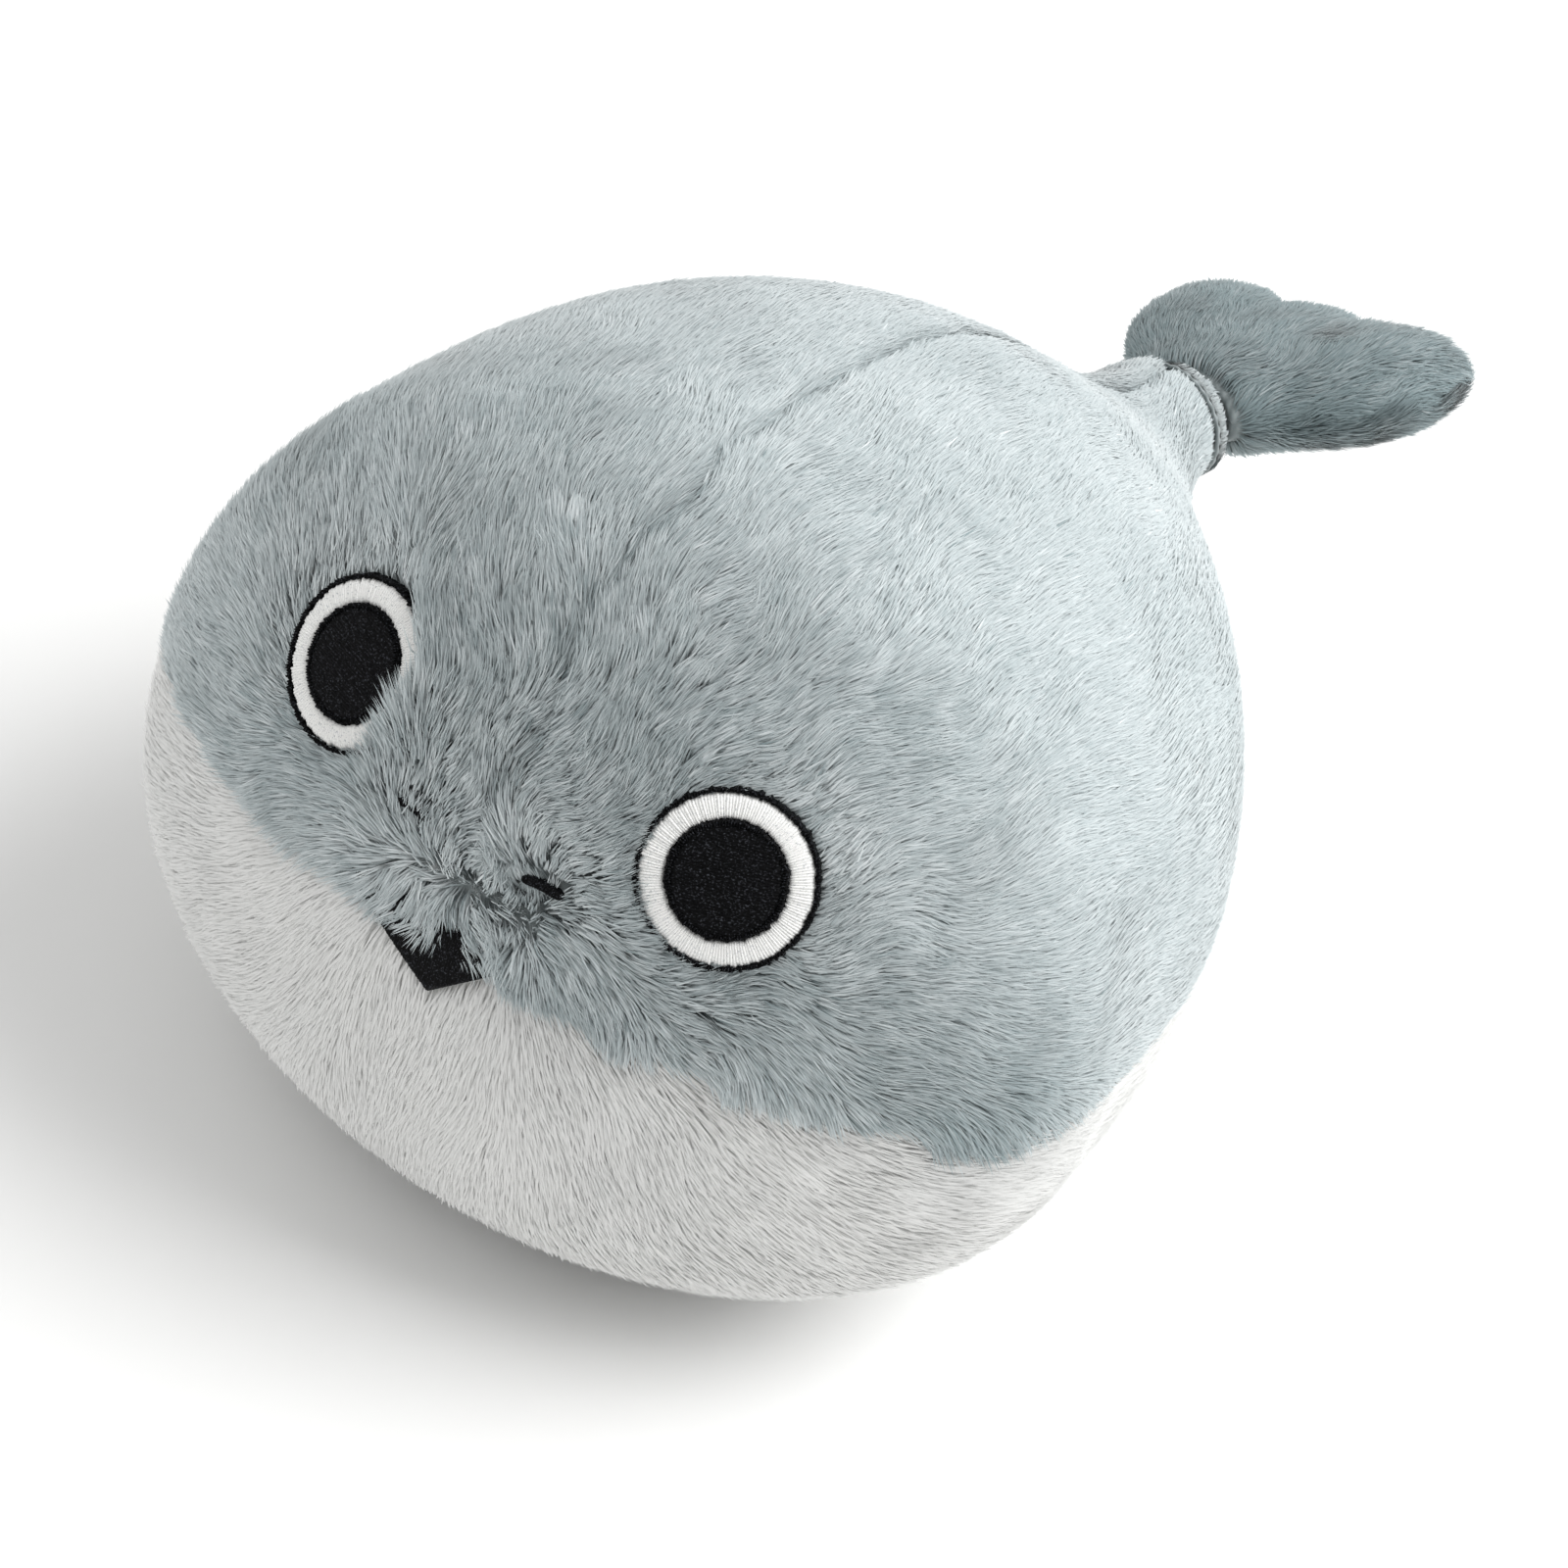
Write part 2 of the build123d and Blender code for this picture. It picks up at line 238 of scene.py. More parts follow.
def smooth_step(low, high, value):
    """0 before low, 1 after high, and an S-shaped rise between them."""
    t = np.clip((value - low) / (high - low), 0, 1)
    return t * t * (3 - 2 * t)


def rear_radius(y):
    """Radius behind the girth: half a cosine wave from full size to the slim stock."""
    wave = (1 + np.cos(np.pi * (np.clip(y, 0, None) / REAR_LENGTH) ** REAR_SHAPE)) / 2
    return STOCK_RADIUS + (BODY_RADIUS - STOCK_RADIUS) * wave


def seam_height(y):
    """Height of the side seam over the axis: a power curve that is level at the tail."""
    return SEAM_AT_NOSE * (np.clip(REAR_LENGTH - y, 0, None) / (REAR_LENGTH + NOSE_LENGTH)) ** SEAM_FALL


DOME_RADIUS = float(rear_radius(PIVOT_Y))
CONE_FLARE = 0.35 / (2.4 * DOME_RADIUS)
CONE_START = 120 * MM
FLAT_BLEND = 4 * MM


def body_outline(share, inset):
    """Along the axis: a quarter ellipse to the girth, half a wave to the stock, a quarter circle to the end."""
    nose = np.clip(share / 0.3, 0, 1) * np.pi / 2
    rear = np.clip((share - 0.3) / 0.6, 0, 1) * PIVOT_Y
    dome = np.clip((share - 0.9) / 0.1, 0, 1) * np.pi / 2
    y = -(NOSE_LENGTH - inset) * np.cos(nose) + rear + (DOME_RADIUS - inset) * np.sin(dome)
    front, behind = (BODY_RADIUS - inset) * np.sin(nose), (rear_radius(rear) - inset) * np.cos(dome)
    return y, np.where(share < 0.3, front, behind)


def depth_share(y):
    """Depth below the axis over the radius: the body's own share, or a slim cone's near the tail if that is more."""
    cone = DOME_RADIUS * (1 + CONE_FLARE * (PIVOT_Y - y))
    return np.where(y > CONE_START, np.clip(cone / rear_radius(y), LOWER_SHARE, 1), LOWER_SHARE)


def body_points(share, angle, inset):
    """A ring round the axis at each place along it, shallower below the axis, and flattened where it lies."""
    y, radius = body_outline(share, inset)
    z = radius * np.sin(angle)
    z = np.where(z < 0, z * depth_share(np.clip(y, 0, PIVOT_Y)), z) + AXIS_HEIGHT
    low = z - inset
    z = inset + np.where(low > FLAT_BLEND, low, FLAT_BLEND * np.exp(np.minimum(low / FLAT_BLEND - 1, 0)))
    return np.stack([radius * np.cos(angle), y + GIRTH_Y, z], -1)


SKIN_ROWS, SKIN_COLUMNS = 110, 180
SKIN_INSET = 2.2 * MM
shares, angles = np.meshgrid(
    np.linspace(0.006, 0.995, SKIN_ROWS), np.arange(SKIN_COLUMNS) / SKIN_COLUMNS * 2 * np.pi, indexing="ij"
)
poles = body_points(np.array([0.0, 1.0]), np.zeros(2), SKIN_INSET)
skin_points = np.concatenate([body_points(shares, angles, SKIN_INSET).reshape(-1, 3), poles])
skin_quads, skin_fans = grid_faces(SKIN_ROWS, SKIN_COLUMNS), pole_faces(SKIN_ROWS, SKIN_COLUMNS)
print("the skin has", len(skin_points), "points and is", np.round(np.ptp(skin_points, 0) / MM, 1), "mm in size")

# %% [markdown]
# Stuffing. Fibre pushes the fabric out everywhere except where it is sewn, so each panel swells a little between
# its seams, and a seam lies in a shallow valley. Cloth under pressure does the same: the skin starts 2 mm small,
# its seams and the embroidered face are held, and twenty frames of pressure round the rest.

# %% Stuff the skins with pressure


def side_of_seam(points):
    """Height over the side seam: above zero on the grey back, below it on the white belly."""
    return points[:, 2] - AXIS_HEIGHT - seam_height(points[:, 1] - GIRTH_Y)


SWELL_FRAMES, PRESSURE = 20, 4.0
BODY_SWELL, TAIL_SWELL = 2.6 * MM, 1.8 * MM


def stuff(name, points, face_sets, held, cap):
    """Blows a closed skin up as cloth for twenty frames; held points stay, and no point moves more than the cap."""
    thing = mesh_piece(name, points, *face_sets)
    sewn = thing.vertex_groups.new(name="sewn")
    for amount in np.unique(np.round(held, 1)):
        if amount > 0:
            sewn.add(np.flatnonzero(np.round(held, 1) == amount).tolist(), float(amount), "REPLACE")
    cloth = thing.modifiers.new("stuffing", "CLOTH")
    cloth.settings.use_pressure = True
    cloth.settings.uniform_pressure_force = PRESSURE
    cloth.settings.vertex_group_mass = sewn.name
    cloth.settings.effector_weights.gravity = 0
    cloth.point_cache.frame_start, cloth.point_cache.frame_end = 1, SWELL_FRAMES
    for frame_number in range(1, SWELL_FRAMES + 1):
        scene.frame_set(frame_number)
    settled = thing.evaluated_get(bpy.context.evaluated_depsgraph_get()).to_mesh()
    swollen = np.empty(len(points) * 3, np.float32)
    settled.vertices.foreach_get("co", swollen)
    bpy.data.objects.remove(thing)
    scene.frame_set(1)
    move = swollen.reshape(-1, 3) - points
    far = np.linalg.norm(move, axis=1, keepdims=True)
    return points + move * np.minimum(1, cap / np.maximum(far, 1e-9))


SEAM_VALLEY, LOWEST_SKIN = 3.2 * MM, 1.4 * MM
over_seam = side_of_seam(skin_points)
from_middle = np.where(over_seam > 0, np.abs(skin_points[:, 0]), 1)
sewn_share = 1 - smooth_step(0, SEAM_VALLEY, np.minimum(np.abs(over_seam), from_middle))
face_share = 1 - smooth_step(0.16, 0.2, np.append(shares.ravel(), (0, 1)))
held = np.clip(sewn_share + face_share, 0, 1)
skin_points = stuff("stuffed_body", skin_points, [skin_quads, skin_fans], held, BODY_SWELL)
skin_points[:, 2] = np.maximum(skin_points[:, 2], LOWEST_SKIN)
print("the stuffed skin is", np.round(np.ptp(skin_points, 0) / MM, 1), "mm in size")

# %% [markdown]
# The three panels. Each is its own closed sheet of knitted backing, 1.2 mm thick, cut from the stuffed skin
# along the seams. The knit is drawn as rows of small loops, and the pile that hides most of it comes later.

# %% Backing material and the three panels


# At a scale of 1 the Wave texture repeats every 2 pi / 20 units. Wales are really about 1.2 mm apart, and they
# are drawn about twice as coarse, so that they show.
WAVE_LENGTH = 2 * math.pi / 20
WALE = 2.3675 * MM


def knitted_backing(name, dark, light):
    """Knitted polyester, the ground of pile fabric: matt, with wales that catch a little light, which is painted:
    their raised rows are coloured lighter.
    """
    material, shader = new_material(name, Roughness=0.85, Sheen_Weight=0.2)
    place = add_node(material, "ShaderNodeTexCoord").outputs["Object"]
    scale = WAVE_LENGTH / WALE
    wales = add_node(material, "ShaderNodeTexWave", [("Vector", place)], Scale=scale, Distortion=3.0).outputs["Fac"]
    # Painted highlight: the wales' raised rows get the lighter colour, for the light they catch.
    two_tones(material, shader, wales, dark, light, wales, Strength=0.4, Distance=0.3 * MM)
    return material


grey_backing = knitted_backing("grey_knitted_backing", "#7f8788", "#9aa2a3")
white_backing = knitted_backing("white_knitted_backing", "#c9c9c6", "#e2e2df")


def panel(name, points, quads, fans, material, slot, fill, *nodes):
    """One panel as a sheet with thickness, made from the faces that belong to it."""
    used, quads_here = np.unique(quads, return_inverse=True)
    sets = [quads_here.reshape(-1, 4)]
    if len(fans):
        used, both = np.unique(np.concatenate([quads.ravel(), fans.ravel()]), return_inverse=True)
        sets = [both[: quads.size].reshape(-1, 4), both[quads.size :].reshape(-1, 3)]
    piece = mesh_piece(name, points[used], *sets)
    wall = piece.modifiers.new("thickness", "SOLIDIFY")
    wall.thickness = 1.2 * MM
    wall.offset = -1
    piece.data.materials.append(material)
    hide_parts(*nodes)
    return piece


def middles(faces):
    """The middle of each face of the body's skin."""
    return skin_points[faces].mean(1)


def body_panel(name, wanted, material, slot, *nodes):
    """A panel of the body: wanted says, for an array of face middles, which of them belong to it."""
    quads, fans = skin_quads[wanted(middles(skin_quads))], skin_fans[wanted(middles(skin_fans))]
    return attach(panel(name, skin_points, quads, fans, material, slot, 0.9, *nodes), "body")


for panel_side, on_side in (("left", lambda p: p[:, 0] > 0), ("right", lambda p: p[:, 0] <= 0)):
    wanted = lambda p, on_side=on_side: (side_of_seam(p) > 0) & on_side(p)
    body_panel(f"grey_back_{panel_side}", wanted, grey_backing, "grey_pile", f"back_panel_{panel_side}")
body_panel("white_belly", lambda p: side_of_seam(p) <= 0, white_backing, "white_pile", "belly_panel")

# %% [markdown]
# Pile. The real fabric is a plush with polyester hairs about 7 mm long that cling together in small locks. A
# particle system would be quick, but its hairs aren't a mesh. So each hair here is a blade with four points:
# a root, two sides and a tip. It leaves the fabric steeply and then leans over, and it is as wide as a few real
# hairs together. Its tip is pulled towards the middle of its lock, which is what makes fur look soft.

# %% Locks and noise
LOCK_SIZE = 2.6 * MM


def unit(vectors):
    """Vectors of length one."""
    return vectors / np.maximum(np.linalg.norm(vectors, axis=-1, keepdims=True), 1e-12)


def near(points, centre, size):
    """1 at a point, fading to 0 around it as a bell curve of a size."""
    return np.exp(-(((points - centre) ** 2).sum(1)) / size**2)


def wander(points, wave, seed):
    """Smooth noise, about -1 to 1: seven sine waves of nearly one length, each in its own direction, added up."""
    waves = np.random.default_rng(seed)
    ways = unit(waves.normal(size=(7, 3))) * 2 * np.pi / (wave * waves.uniform(0.7, 1.4, (7, 1)))
    return np.sin(points @ ways.T + waves.uniform(0, 2 * np.pi, 7)).sum(1) / 2.6


def turned(vectors, normals, angle):
    """Vectors in a surface, turned in it by an angle each."""
    return vectors * np.cos(angle)[:, None] + np.cross(normals, vectors) * np.sin(angle)[:, None]


def lock_of(points):
    """The number of the lock that each root belongs to: cells of a grid that noise has bent."""
    bent = points + 0.7 * LOCK_SIZE * np.stack([wander(points, 7 * MM, n) for n in (11, 12, 13)], 1)
    cells = np.floor(bent / LOCK_SIZE).astype(np.int64)
    return np.unique(cells @ np.array([1, 4099, 4099 * 4099]), return_inverse=True)[1]


def mean_in_lock(lock, values):
    """For each hair, the mean of a value over its lock."""
    count = np.bincount(lock)
    return np.stack([(np.bincount(lock, column) / count)[lock] for column in values.T], 1)


print("a lock is about", LOCK_SIZE / MM, "mm wide")

# %% [markdown]
# Growing. Roots are scattered over the skin's triangles, each as likely as its area, and every hair gets its own
# length, way and slopes by chance. Pile that is combed lies low in even rows; pile that is unruly stands up, strays
# and clings together. A blade takes the light mostly as the skin below it does, or it would glitter.

# %% How a hair is made
BLADE_WIDTH = 0.36 * MM
# The slopes of a hair's two halves over the fabric, in degrees, where it is combed, and what being unruly adds.
STEEP_COMBED, STEEP_ADDED = 22, 28
FLAT_COMBED, FLAT_ADDED = 5, 16


def scatter(points, triangles, spacing, chance):
    """Roots spread evenly over triangles, one for each spacing squared, and the skin's normal at each of them."""
    a, b, c = (points[triangles[:, n]] for n in range(3))
    across = np.cross(b - a, c - a)
    area = np.linalg.norm(across, axis=1) / 2
    normals = np.stack(
        [np.bincount(triangles.ravel(), np.repeat(across[:, n], 3), len(points)) for n in range(3)], 1
    )
    chosen = np.searchsorted(np.cumsum(area), chance.uniform(0, area.sum(), int(area.sum() / spacing**2)))
    u, v = chance.uniform(0, 1, (2, len(chosen), 1))
    over = u + v > 1
    u, v = np.where(over, 1 - u, u), np.where(over, 1 - v, v)
    corners = triangles[chosen]
    mix = lambda values: values[corners[:, 0]] * (1 - u - v) + values[corners[:, 1]] * u + values[corners[:, 2]] * v
    return mix(points), unit(mix(unit(normals)))


def grow_hairs(roots, normals, lay, length, lean, wild, chance):
    """The four points of each blade: half its length at a steep angle, half at a flat one, and the tip drawn in.

    Wild says how much the hairs stand up, stray and cling together: 0 is combed, 1 unruly, and more is a tuft."""
    count = len(roots)
    length = (length * chance.uniform(0.8, 1.15, count))[:, None]
    turn = (chance.normal(0, 1, count) * (0.09 + 0.13 * wild))[:, None]
    lay = unit(lay - normals * (lay * normals).sum(1, keepdims=True))
    lay = turned(lay, normals, turn[:, 0])
    side = np.cross(lay, normals)
    steep = STEEP_COMBED + STEEP_ADDED * wild + chance.normal(0, 1, count) * (4 + 5 * wild)
    flat = FLAT_COMBED + FLAT_ADDED * wild + chance.normal(0, 1, count) * (3 + 5 * wild)
    steep, flat = (np.radians(steep) - lean)[:, None], (np.radians(flat) - lean * 0.6)[:, None]
    middle = roots + length * 0.5 * (normals * np.sin(steep) + lay * np.cos(steep))
    tip = middle + length * 0.5 * (normals * np.sin(flat) + lay * np.cos(flat))
    lock = lock_of(roots)
    clinging = np.minimum(0.15 + 0.85 * wild[:, None], 1)
    drawn = chance.uniform(0.2, 0.75, lock.max() + 1)[lock][:, None] * clinging
    tip = tip + (mean_in_lock(lock, tip) - tip) * drawn
    middle = middle + (mean_in_lock(lock, middle) - middle) * drawn * 0.4
    half = side * BLADE_WIDTH / 2 * (1.35 - 0.35 * np.minimum(wild, 1)[:, None])
    blades = np.stack([roots, middle - half, middle + half, tip], 1)
    blades[..., 2] = np.maximum(blades[..., 2], 0.3 * MM)
    return blades


def hair_tones(roots, base, wild, chance):
    """A tone for each hair: slow patches, a tone of its lock, its own, and one hair in eighty that stands out, much
    lighter or darker at random; the lighter ones are painted glints.
    """
    lock, wild = lock_of(roots), np.minimum(wild, 1)
    own_lock = chance.normal(0, 1, lock.max() + 1)[lock]
    tone = base + 0.05 * wander(roots, 40 * MM, 31) + 0.09 * (0.3 + 0.7 * wild) * own_lock
    tone = tone + chance.normal(0, 0.1, len(roots)) * (0.5 + 0.5 * wild)
    # Painted glints in part: one hair in eighty gets a tone far off the rest, and the lighter ones stand for hairs
    # that catch the light.
    return tone + (chance.random(len(roots)) < 1 / 80) * chance.uniform(-0.5, 0.5, len(roots))


def pile_piece(name, blades, normals, tone, material, body):
    """A mesh of blades that take the light as the skin under them does, which is what makes plush look soft.

    Its map holds each blade's tone across and its root to tip upwards, for the material."""
    count = len(blades)
    start = np.arange(count)[:, None] * 4
    faces = (start + np.array([0, 2, 1, 1, 2, 3])).reshape(-1, 3)
    piece = mesh_piece(name, blades.reshape(-1, 3), faces)
    across = np.clip(tone, 0.02, 0.98)[:, None] + np.array([0, 0.004, -0.004, -0.004, 0.004, 0])
    upwards = np.broadcast_to(np.array([0.02, 0.5, 0.5, 0.5, 0.5, 0.98]), across.shape)
    layer = piece.data.uv_layers.new(name="OFBake")
    layer.data.foreach_set("uv", np.stack([across, upwards], -1).astype(np.float32).ravel())
    facing = unit(np.cross(blades[:, 2] - blades[:, 0], blades[:, 1] - blades[:, 0]))
    soft = unit(normals + 0.45 * facing)
    piece.data.normals_split_custom_set_from_vertices(np.repeat(soft, 4, axis=0))
    piece.data.materials.append(material)
    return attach(piece, body)


print("a hair is", BLADE_WIDTH / MM, "mm wide")

# %% [markdown]
# The plush's colour. Polyester pile is dyed before it is knitted, so its colour is even, but each lock is a
# little lighter or darker than the next. Light gets lost between the hairs, and that is painted: a hair's colour
# is darkened towards its root as painted shade, and its fine tip, which lets some light through, keeps its full tone.

# %% Pile materials


def pile_material(name, dark, light, painted_root_shade):
    """Polyester plush, matt with a soft sheen: the map runs from dark to light across, and from root to tip up, where
    the root is painted darker as shade.
    """
    material, shader = new_material(name, Roughness=0.8, Specular_IOR_Level=0.25)
    shader.inputs["Sheen Weight"].default_value, shader.inputs["Sheen Roughness"].default_value = 0.35, 0.5
    place = add_node(material, "ShaderNodeUVMap", uv_map="OFBake").outputs["UV"]
    axes = add_node(material, "ShaderNodeSeparateXYZ", [("Vector", place)])
    tones = add_node(material, "ShaderNodeMix", [("Factor", axes.outputs["X"])], data_type="RGBA")
    tones.inputs[6].default_value = (*linear(dark), 1)
    tones.inputs[7].default_value = (*linear(light), 1)
    # Painted shade: the colour is multiplied down towards each hair's root, for the light lost between the hairs.
    root_shade_ramp = add_node(material, "ShaderNodeMapRange", [("Value", axes.outputs["Y"])], To_Min=painted_root_shade, From_Max=0.75)
    factors = [(0, tones.outputs[2]), (1, root_shade_ramp.outputs["Result"])]
    shaded = add_node(material, "ShaderNodeVectorMath", factors, operation="MULTIPLY")
    material.node_tree.links.new(shaded.outputs["Vector"], shader.inputs["Base Color"])
    return material


# The last value is the share of the tone left at a hair's root, the painted root shade: 0.64 on grey, none on white.
grey_pile = pile_material("grey_polyester_plush", "#839396", "#e1e7e8", 0.64)
white_pile = pile_material("white_polyester_plush", "#d0d1d0", "#e8e8e6", 1.0)
print("pile materials:", grey_pile.name, white_pile.name)

# %% [markdown]
# Where hairs grow. The embroidery is sewn through the pile, so no hair has its root under an eye, a nostril or the
# mouth. Those places lie on the ellipsoid that the snout is part of, and one function turns a side and a height
# into a point on it and the ways level, up and out there.

# %% Places on the toy
SNOUT = GIRTH + np.array([0.0, -66.0, 39.0]) * MM
LIP = GIRTH + np.array([-4.0, -66.0, 31.0]) * MM
EYE_RADIUS, EYE_HEIGHT = 15.5 * MM, 57.0 * MM
EYE_SIDES = {1: 39.5 * MM, -1: 36.0 * MM}
NOSTRIL_SIDE, NOSTRIL_HEIGHT = 13.0 * MM, 45.5 * MM
MOUTH_LEFT, MOUTH_RIGHT, MOUTH_APEX = 13.5 * MM, 22.0 * MM, 17.0 * MM
PARTING_HALF = 12 * MM
TUFT = GIRTH + np.array([88.0, -32.0, 20.0]) * MM


def face_place(side, height):
    """A place on the face and the ways level, up and out there, from the ellipsoid that the snout is part of."""
    forward_share = math.sqrt(1 - (side**2 + height**2) / BODY_RADIUS**2)
    outward = unit(np.array([side / BODY_RADIUS**2, -forward_share / NOSE_LENGTH, height / BODY_RADIUS**2]))
    across = unit(np.array([-outward[1], outward[0], 0]))
    origin = GIRTH + np.array([side, -NOSE_LENGTH * forward_share, height])
    return origin, across, np.cross(outward, across), outward


def jaw_line(x):
    """Height of the mouth's lower edge over the axis: a straight line to each corner from the lowest point."""
    to_corner = np.abs(x) / np.where(x > 0, MOUTH_LEFT, MOUTH_RIGHT)
    return MOUTH_APEX + (SEAM_AT_NOSE - MOUTH_APEX) * to_corner


def in_mouth(points):
    """True inside the mouth's triangle: below the side seam and above the jaw line."""
    above = points[:, 2] - AXIS_HEIGHT > jaw_line(points[:, 0])
    return (side_of_seam(points) < 0) & above & (points[:, 1] < GIRTH_Y)


def bare(points):
    """True where embroidery leaves no room for a root: the eyes, the nostrils and the mouth."""
    covered = in_mouth(points)
    for side in (-1, 1):
        eye = face_place(side * EYE_SIDES[side], EYE_HEIGHT)
        from_eye = points - eye[0]
        reach = np.hypot(from_eye @ eye[1], from_eye @ eye[2])
        covered |= (reach < EYE_RADIUS - 1.2 * MM) & (points[:, 1] < GIRTH_Y)
        nostril = face_place(side * NOSTRIL_SIDE, NOSTRIL_HEIGHT)
        from_nostril = points - nostril[0]
        along, over = np.abs(from_nostril @ nostril[1]), np.abs(from_nostril @ nostril[2])
        covered |= (along < 3.8 * MM) & (over < 0.8 * MM)
    return covered


def under_neck(points):
    """True on the round end of the stock where the neck ring covers it."""
    from_pivot = points - GIRTH - np.array([0, PIVOT_Y, 0])
    return unit(from_pivot)[:, 1] * (from_pivot[:, 1] > 0) > math.cos(math.radians(50))


print("the snout's middle is at", np.round(SNOUT / MM, 1), "mm")

# %% [markdown]
# The way the pile lies. It is brushed outwards from a short parting on the snout, over the forehead and the
# cheeks, and on the back it all runs to the tail. Round the face it is long and swirls a little; on the back and
# the belly it is even. A tuft hangs over the side seam on the left cheek. Where the stock ends, the hairs are
# longer and stand higher, which hides the front edge of the neck ring, and under the ring they are short.

# %% How the pile lies and how long it is


def wildness(points):
    """How unruly the pile is: 1 on the grey face, more in the middle of the snout, near 0 on back and belly."""
    far = np.linalg.norm(points - SNOUT, axis=1)
    unruly = 1 - smooth_step(45 * MM, 130 * MM, far) + 0.5 * near(points, SNOUT, 9 * MM)
    return unruly * np.where(side_of_seam(points) > 0, 1.0, 0.1)


def body_lay(points, normals):
    """Away from a short parting on the snout, then to the tail, and down over the side seam, with swirls."""
    away = points - SNOUT
    far = np.linalg.norm(away, axis=1)
    away[:, 0] -= np.clip(away[:, 0], -PARTING_HALF, PARTING_HALF)
    tailward = smooth_step(35 * MM, 150 * MM, far)[:, None]
    lay = unit(away) * (1 - tailward) + np.array([0, 1, 0]) * tailward
    over_edge = (1 - smooth_step(0, 9 * MM, side_of_seam(points))) * (side_of_seam(points) > 0)
    lay[:, 2] -= over_edge * (0.25 + 0.9 * near(points, TUFT, 35 * MM))
    lay = unit(lay - normals * (lay * normals).sum(1, keepdims=True))
    swirl = 0.42 * wander(points, 34 * MM, 21) + 0.26 * wander(points, 15 * MM, 22)
    swirl = swirl * (0.3 + 0.7 * wildness(points))
    return turned(lay, normals, swirl + 1.1 * wander(points, 11 * MM, 23) * near(points, SNOUT, 15 * MM))


def pile_length(points):
    """Long on the snout and in the cheek's tuft, shorter on lip, back and belly, and trimmed round the embroidery.

    On the forehead's side an eye isn't trimmed as much, and there the hairs fall a little over it."""
    far = np.linalg.norm(points - SNOUT, axis=1)
    length = 8.2 * MM - 1.4 * MM * smooth_step(60 * MM, 160 * MM, far)
    length = length - 1.0 * MM * near(points, LIP, 14 * MM) + 3.5 * MM * near(points, TUFT, 12 * MM)
    length = length - 1.0 * MM * (side_of_seam(points) < 0)
    for sign, side in EYE_SIDES.items():
        away = points - face_place(sign * side, EYE_HEIGHT)[0]
        gap = np.linalg.norm(away, axis=1) - EYE_RADIUS
        inner = smooth_step(-0.1, 0.6, unit(away)[:, 0] * -sign) * smooth_step(-0.75, -0.2, unit(away)[:, 2])
        kept = 0.55 + inner * (0.05 if sign > 0 else 0.75)
        length = length * (kept + (1 - kept) * smooth_step(0, 6 * MM, gap))
        nostril = face_place(sign * NOSTRIL_SIDE, NOSTRIL_HEIGHT)[0]
        nostril_gap = np.linalg.norm(points - nostril, axis=1) - 3 * MM
        length = length * (1 - (0.42 if sign > 0 else 0.1) * (1 - smooth_step(0, 6 * MM, nostril_gap)))
    return length


skin_triangles = np.concatenate([skin_quads[:, [0, 1, 2]], skin_quads[:, [0, 2, 3]], skin_fans])
all_lengths = pile_length(skin_points)
print("the pile is", round(all_lengths.min() / MM, 1), "to", round(all_lengths.max() / MM, 1), "mm long")

# %% [markdown]
# The back's grey pile and the belly's white pile. They are grown over the whole stuffed skin and then sorted by
# panel, so a hair that grows beside a seam may lean over it, as on the real toy. Along the seam on top the hairs
# are drawn in, which leaves the shallow groove that a sewn seam has. Hairs in that groove and round the cheek's
# tuft are painted darker, as shade.

# %% Pile of the body


def body_pile(spacing, grows, material, regions, seed, mottle, opaque=True):
    """Grows pile where grows(points) is true, and makes one piece for each region, a name and a test of roots.

    Mottle tilts the light on it in soft patches, as on pile that hands have pressed this way and that. Pile that
    isn't opaque casts no shadow on itself: white fibres pass so much light on that none shows between them."""
    chance = np.random.default_rng(seed)
    roots, normals = scatter(skin_points, skin_triangles, spacing, chance)
    kept = grows(roots) & ~bare(roots)
    roots, normals = roots[kept], normals[kept]
    wild = wildness(roots)
    groove = np.exp(-((roots[:, 0] / (1.6 * MM)) ** 2)) * (side_of_seam(roots) > 0)
    seam = np.exp(-((side_of_seam(roots) / (2.5 * MM)) ** 2))
    length = pile_length(roots) * (1 - 0.25 * groove)
    lean = 0.3 * groove + 0.1 * seam
    toward_tail = unit(roots - GIRTH - np.array([0, PIVOT_Y, 0]))[:, 1]
    collar = smooth_step(math.cos(math.radians(78)), math.cos(math.radians(55)), toward_tail)
    length, lean = np.where(under_neck(roots), 3 * MM, length + 3 * MM * collar), lean - 0.25 * collar
    blades = grow_hairs(roots, normals, body_lay(roots, normals), length, lean, wild, chance)
    # Painted shade: a darker tone in the seam's groove and round the cheek's tuft, where shade falls in the pile.
    tone = hair_tones(roots, 0.55, wild, chance) - 0.2 * groove - 0.35 * near(roots, TUFT, 17 * MM)
    patches = [wander(roots, 13 * MM, 41 + n) + 0.7 * wander(roots, 30 * MM, 44 + n) for n in range(3)]
    normals = unit(normals + mottle * np.stack(patches, 1))
    for name, test in regions.items():
        there = test(roots)
        grown = pile_piece(name, blades[there], normals[there], tone[there], material, "body")
        grown.visible_shadow = opaque
        print(name, "has", int(there.sum()), "hairs")


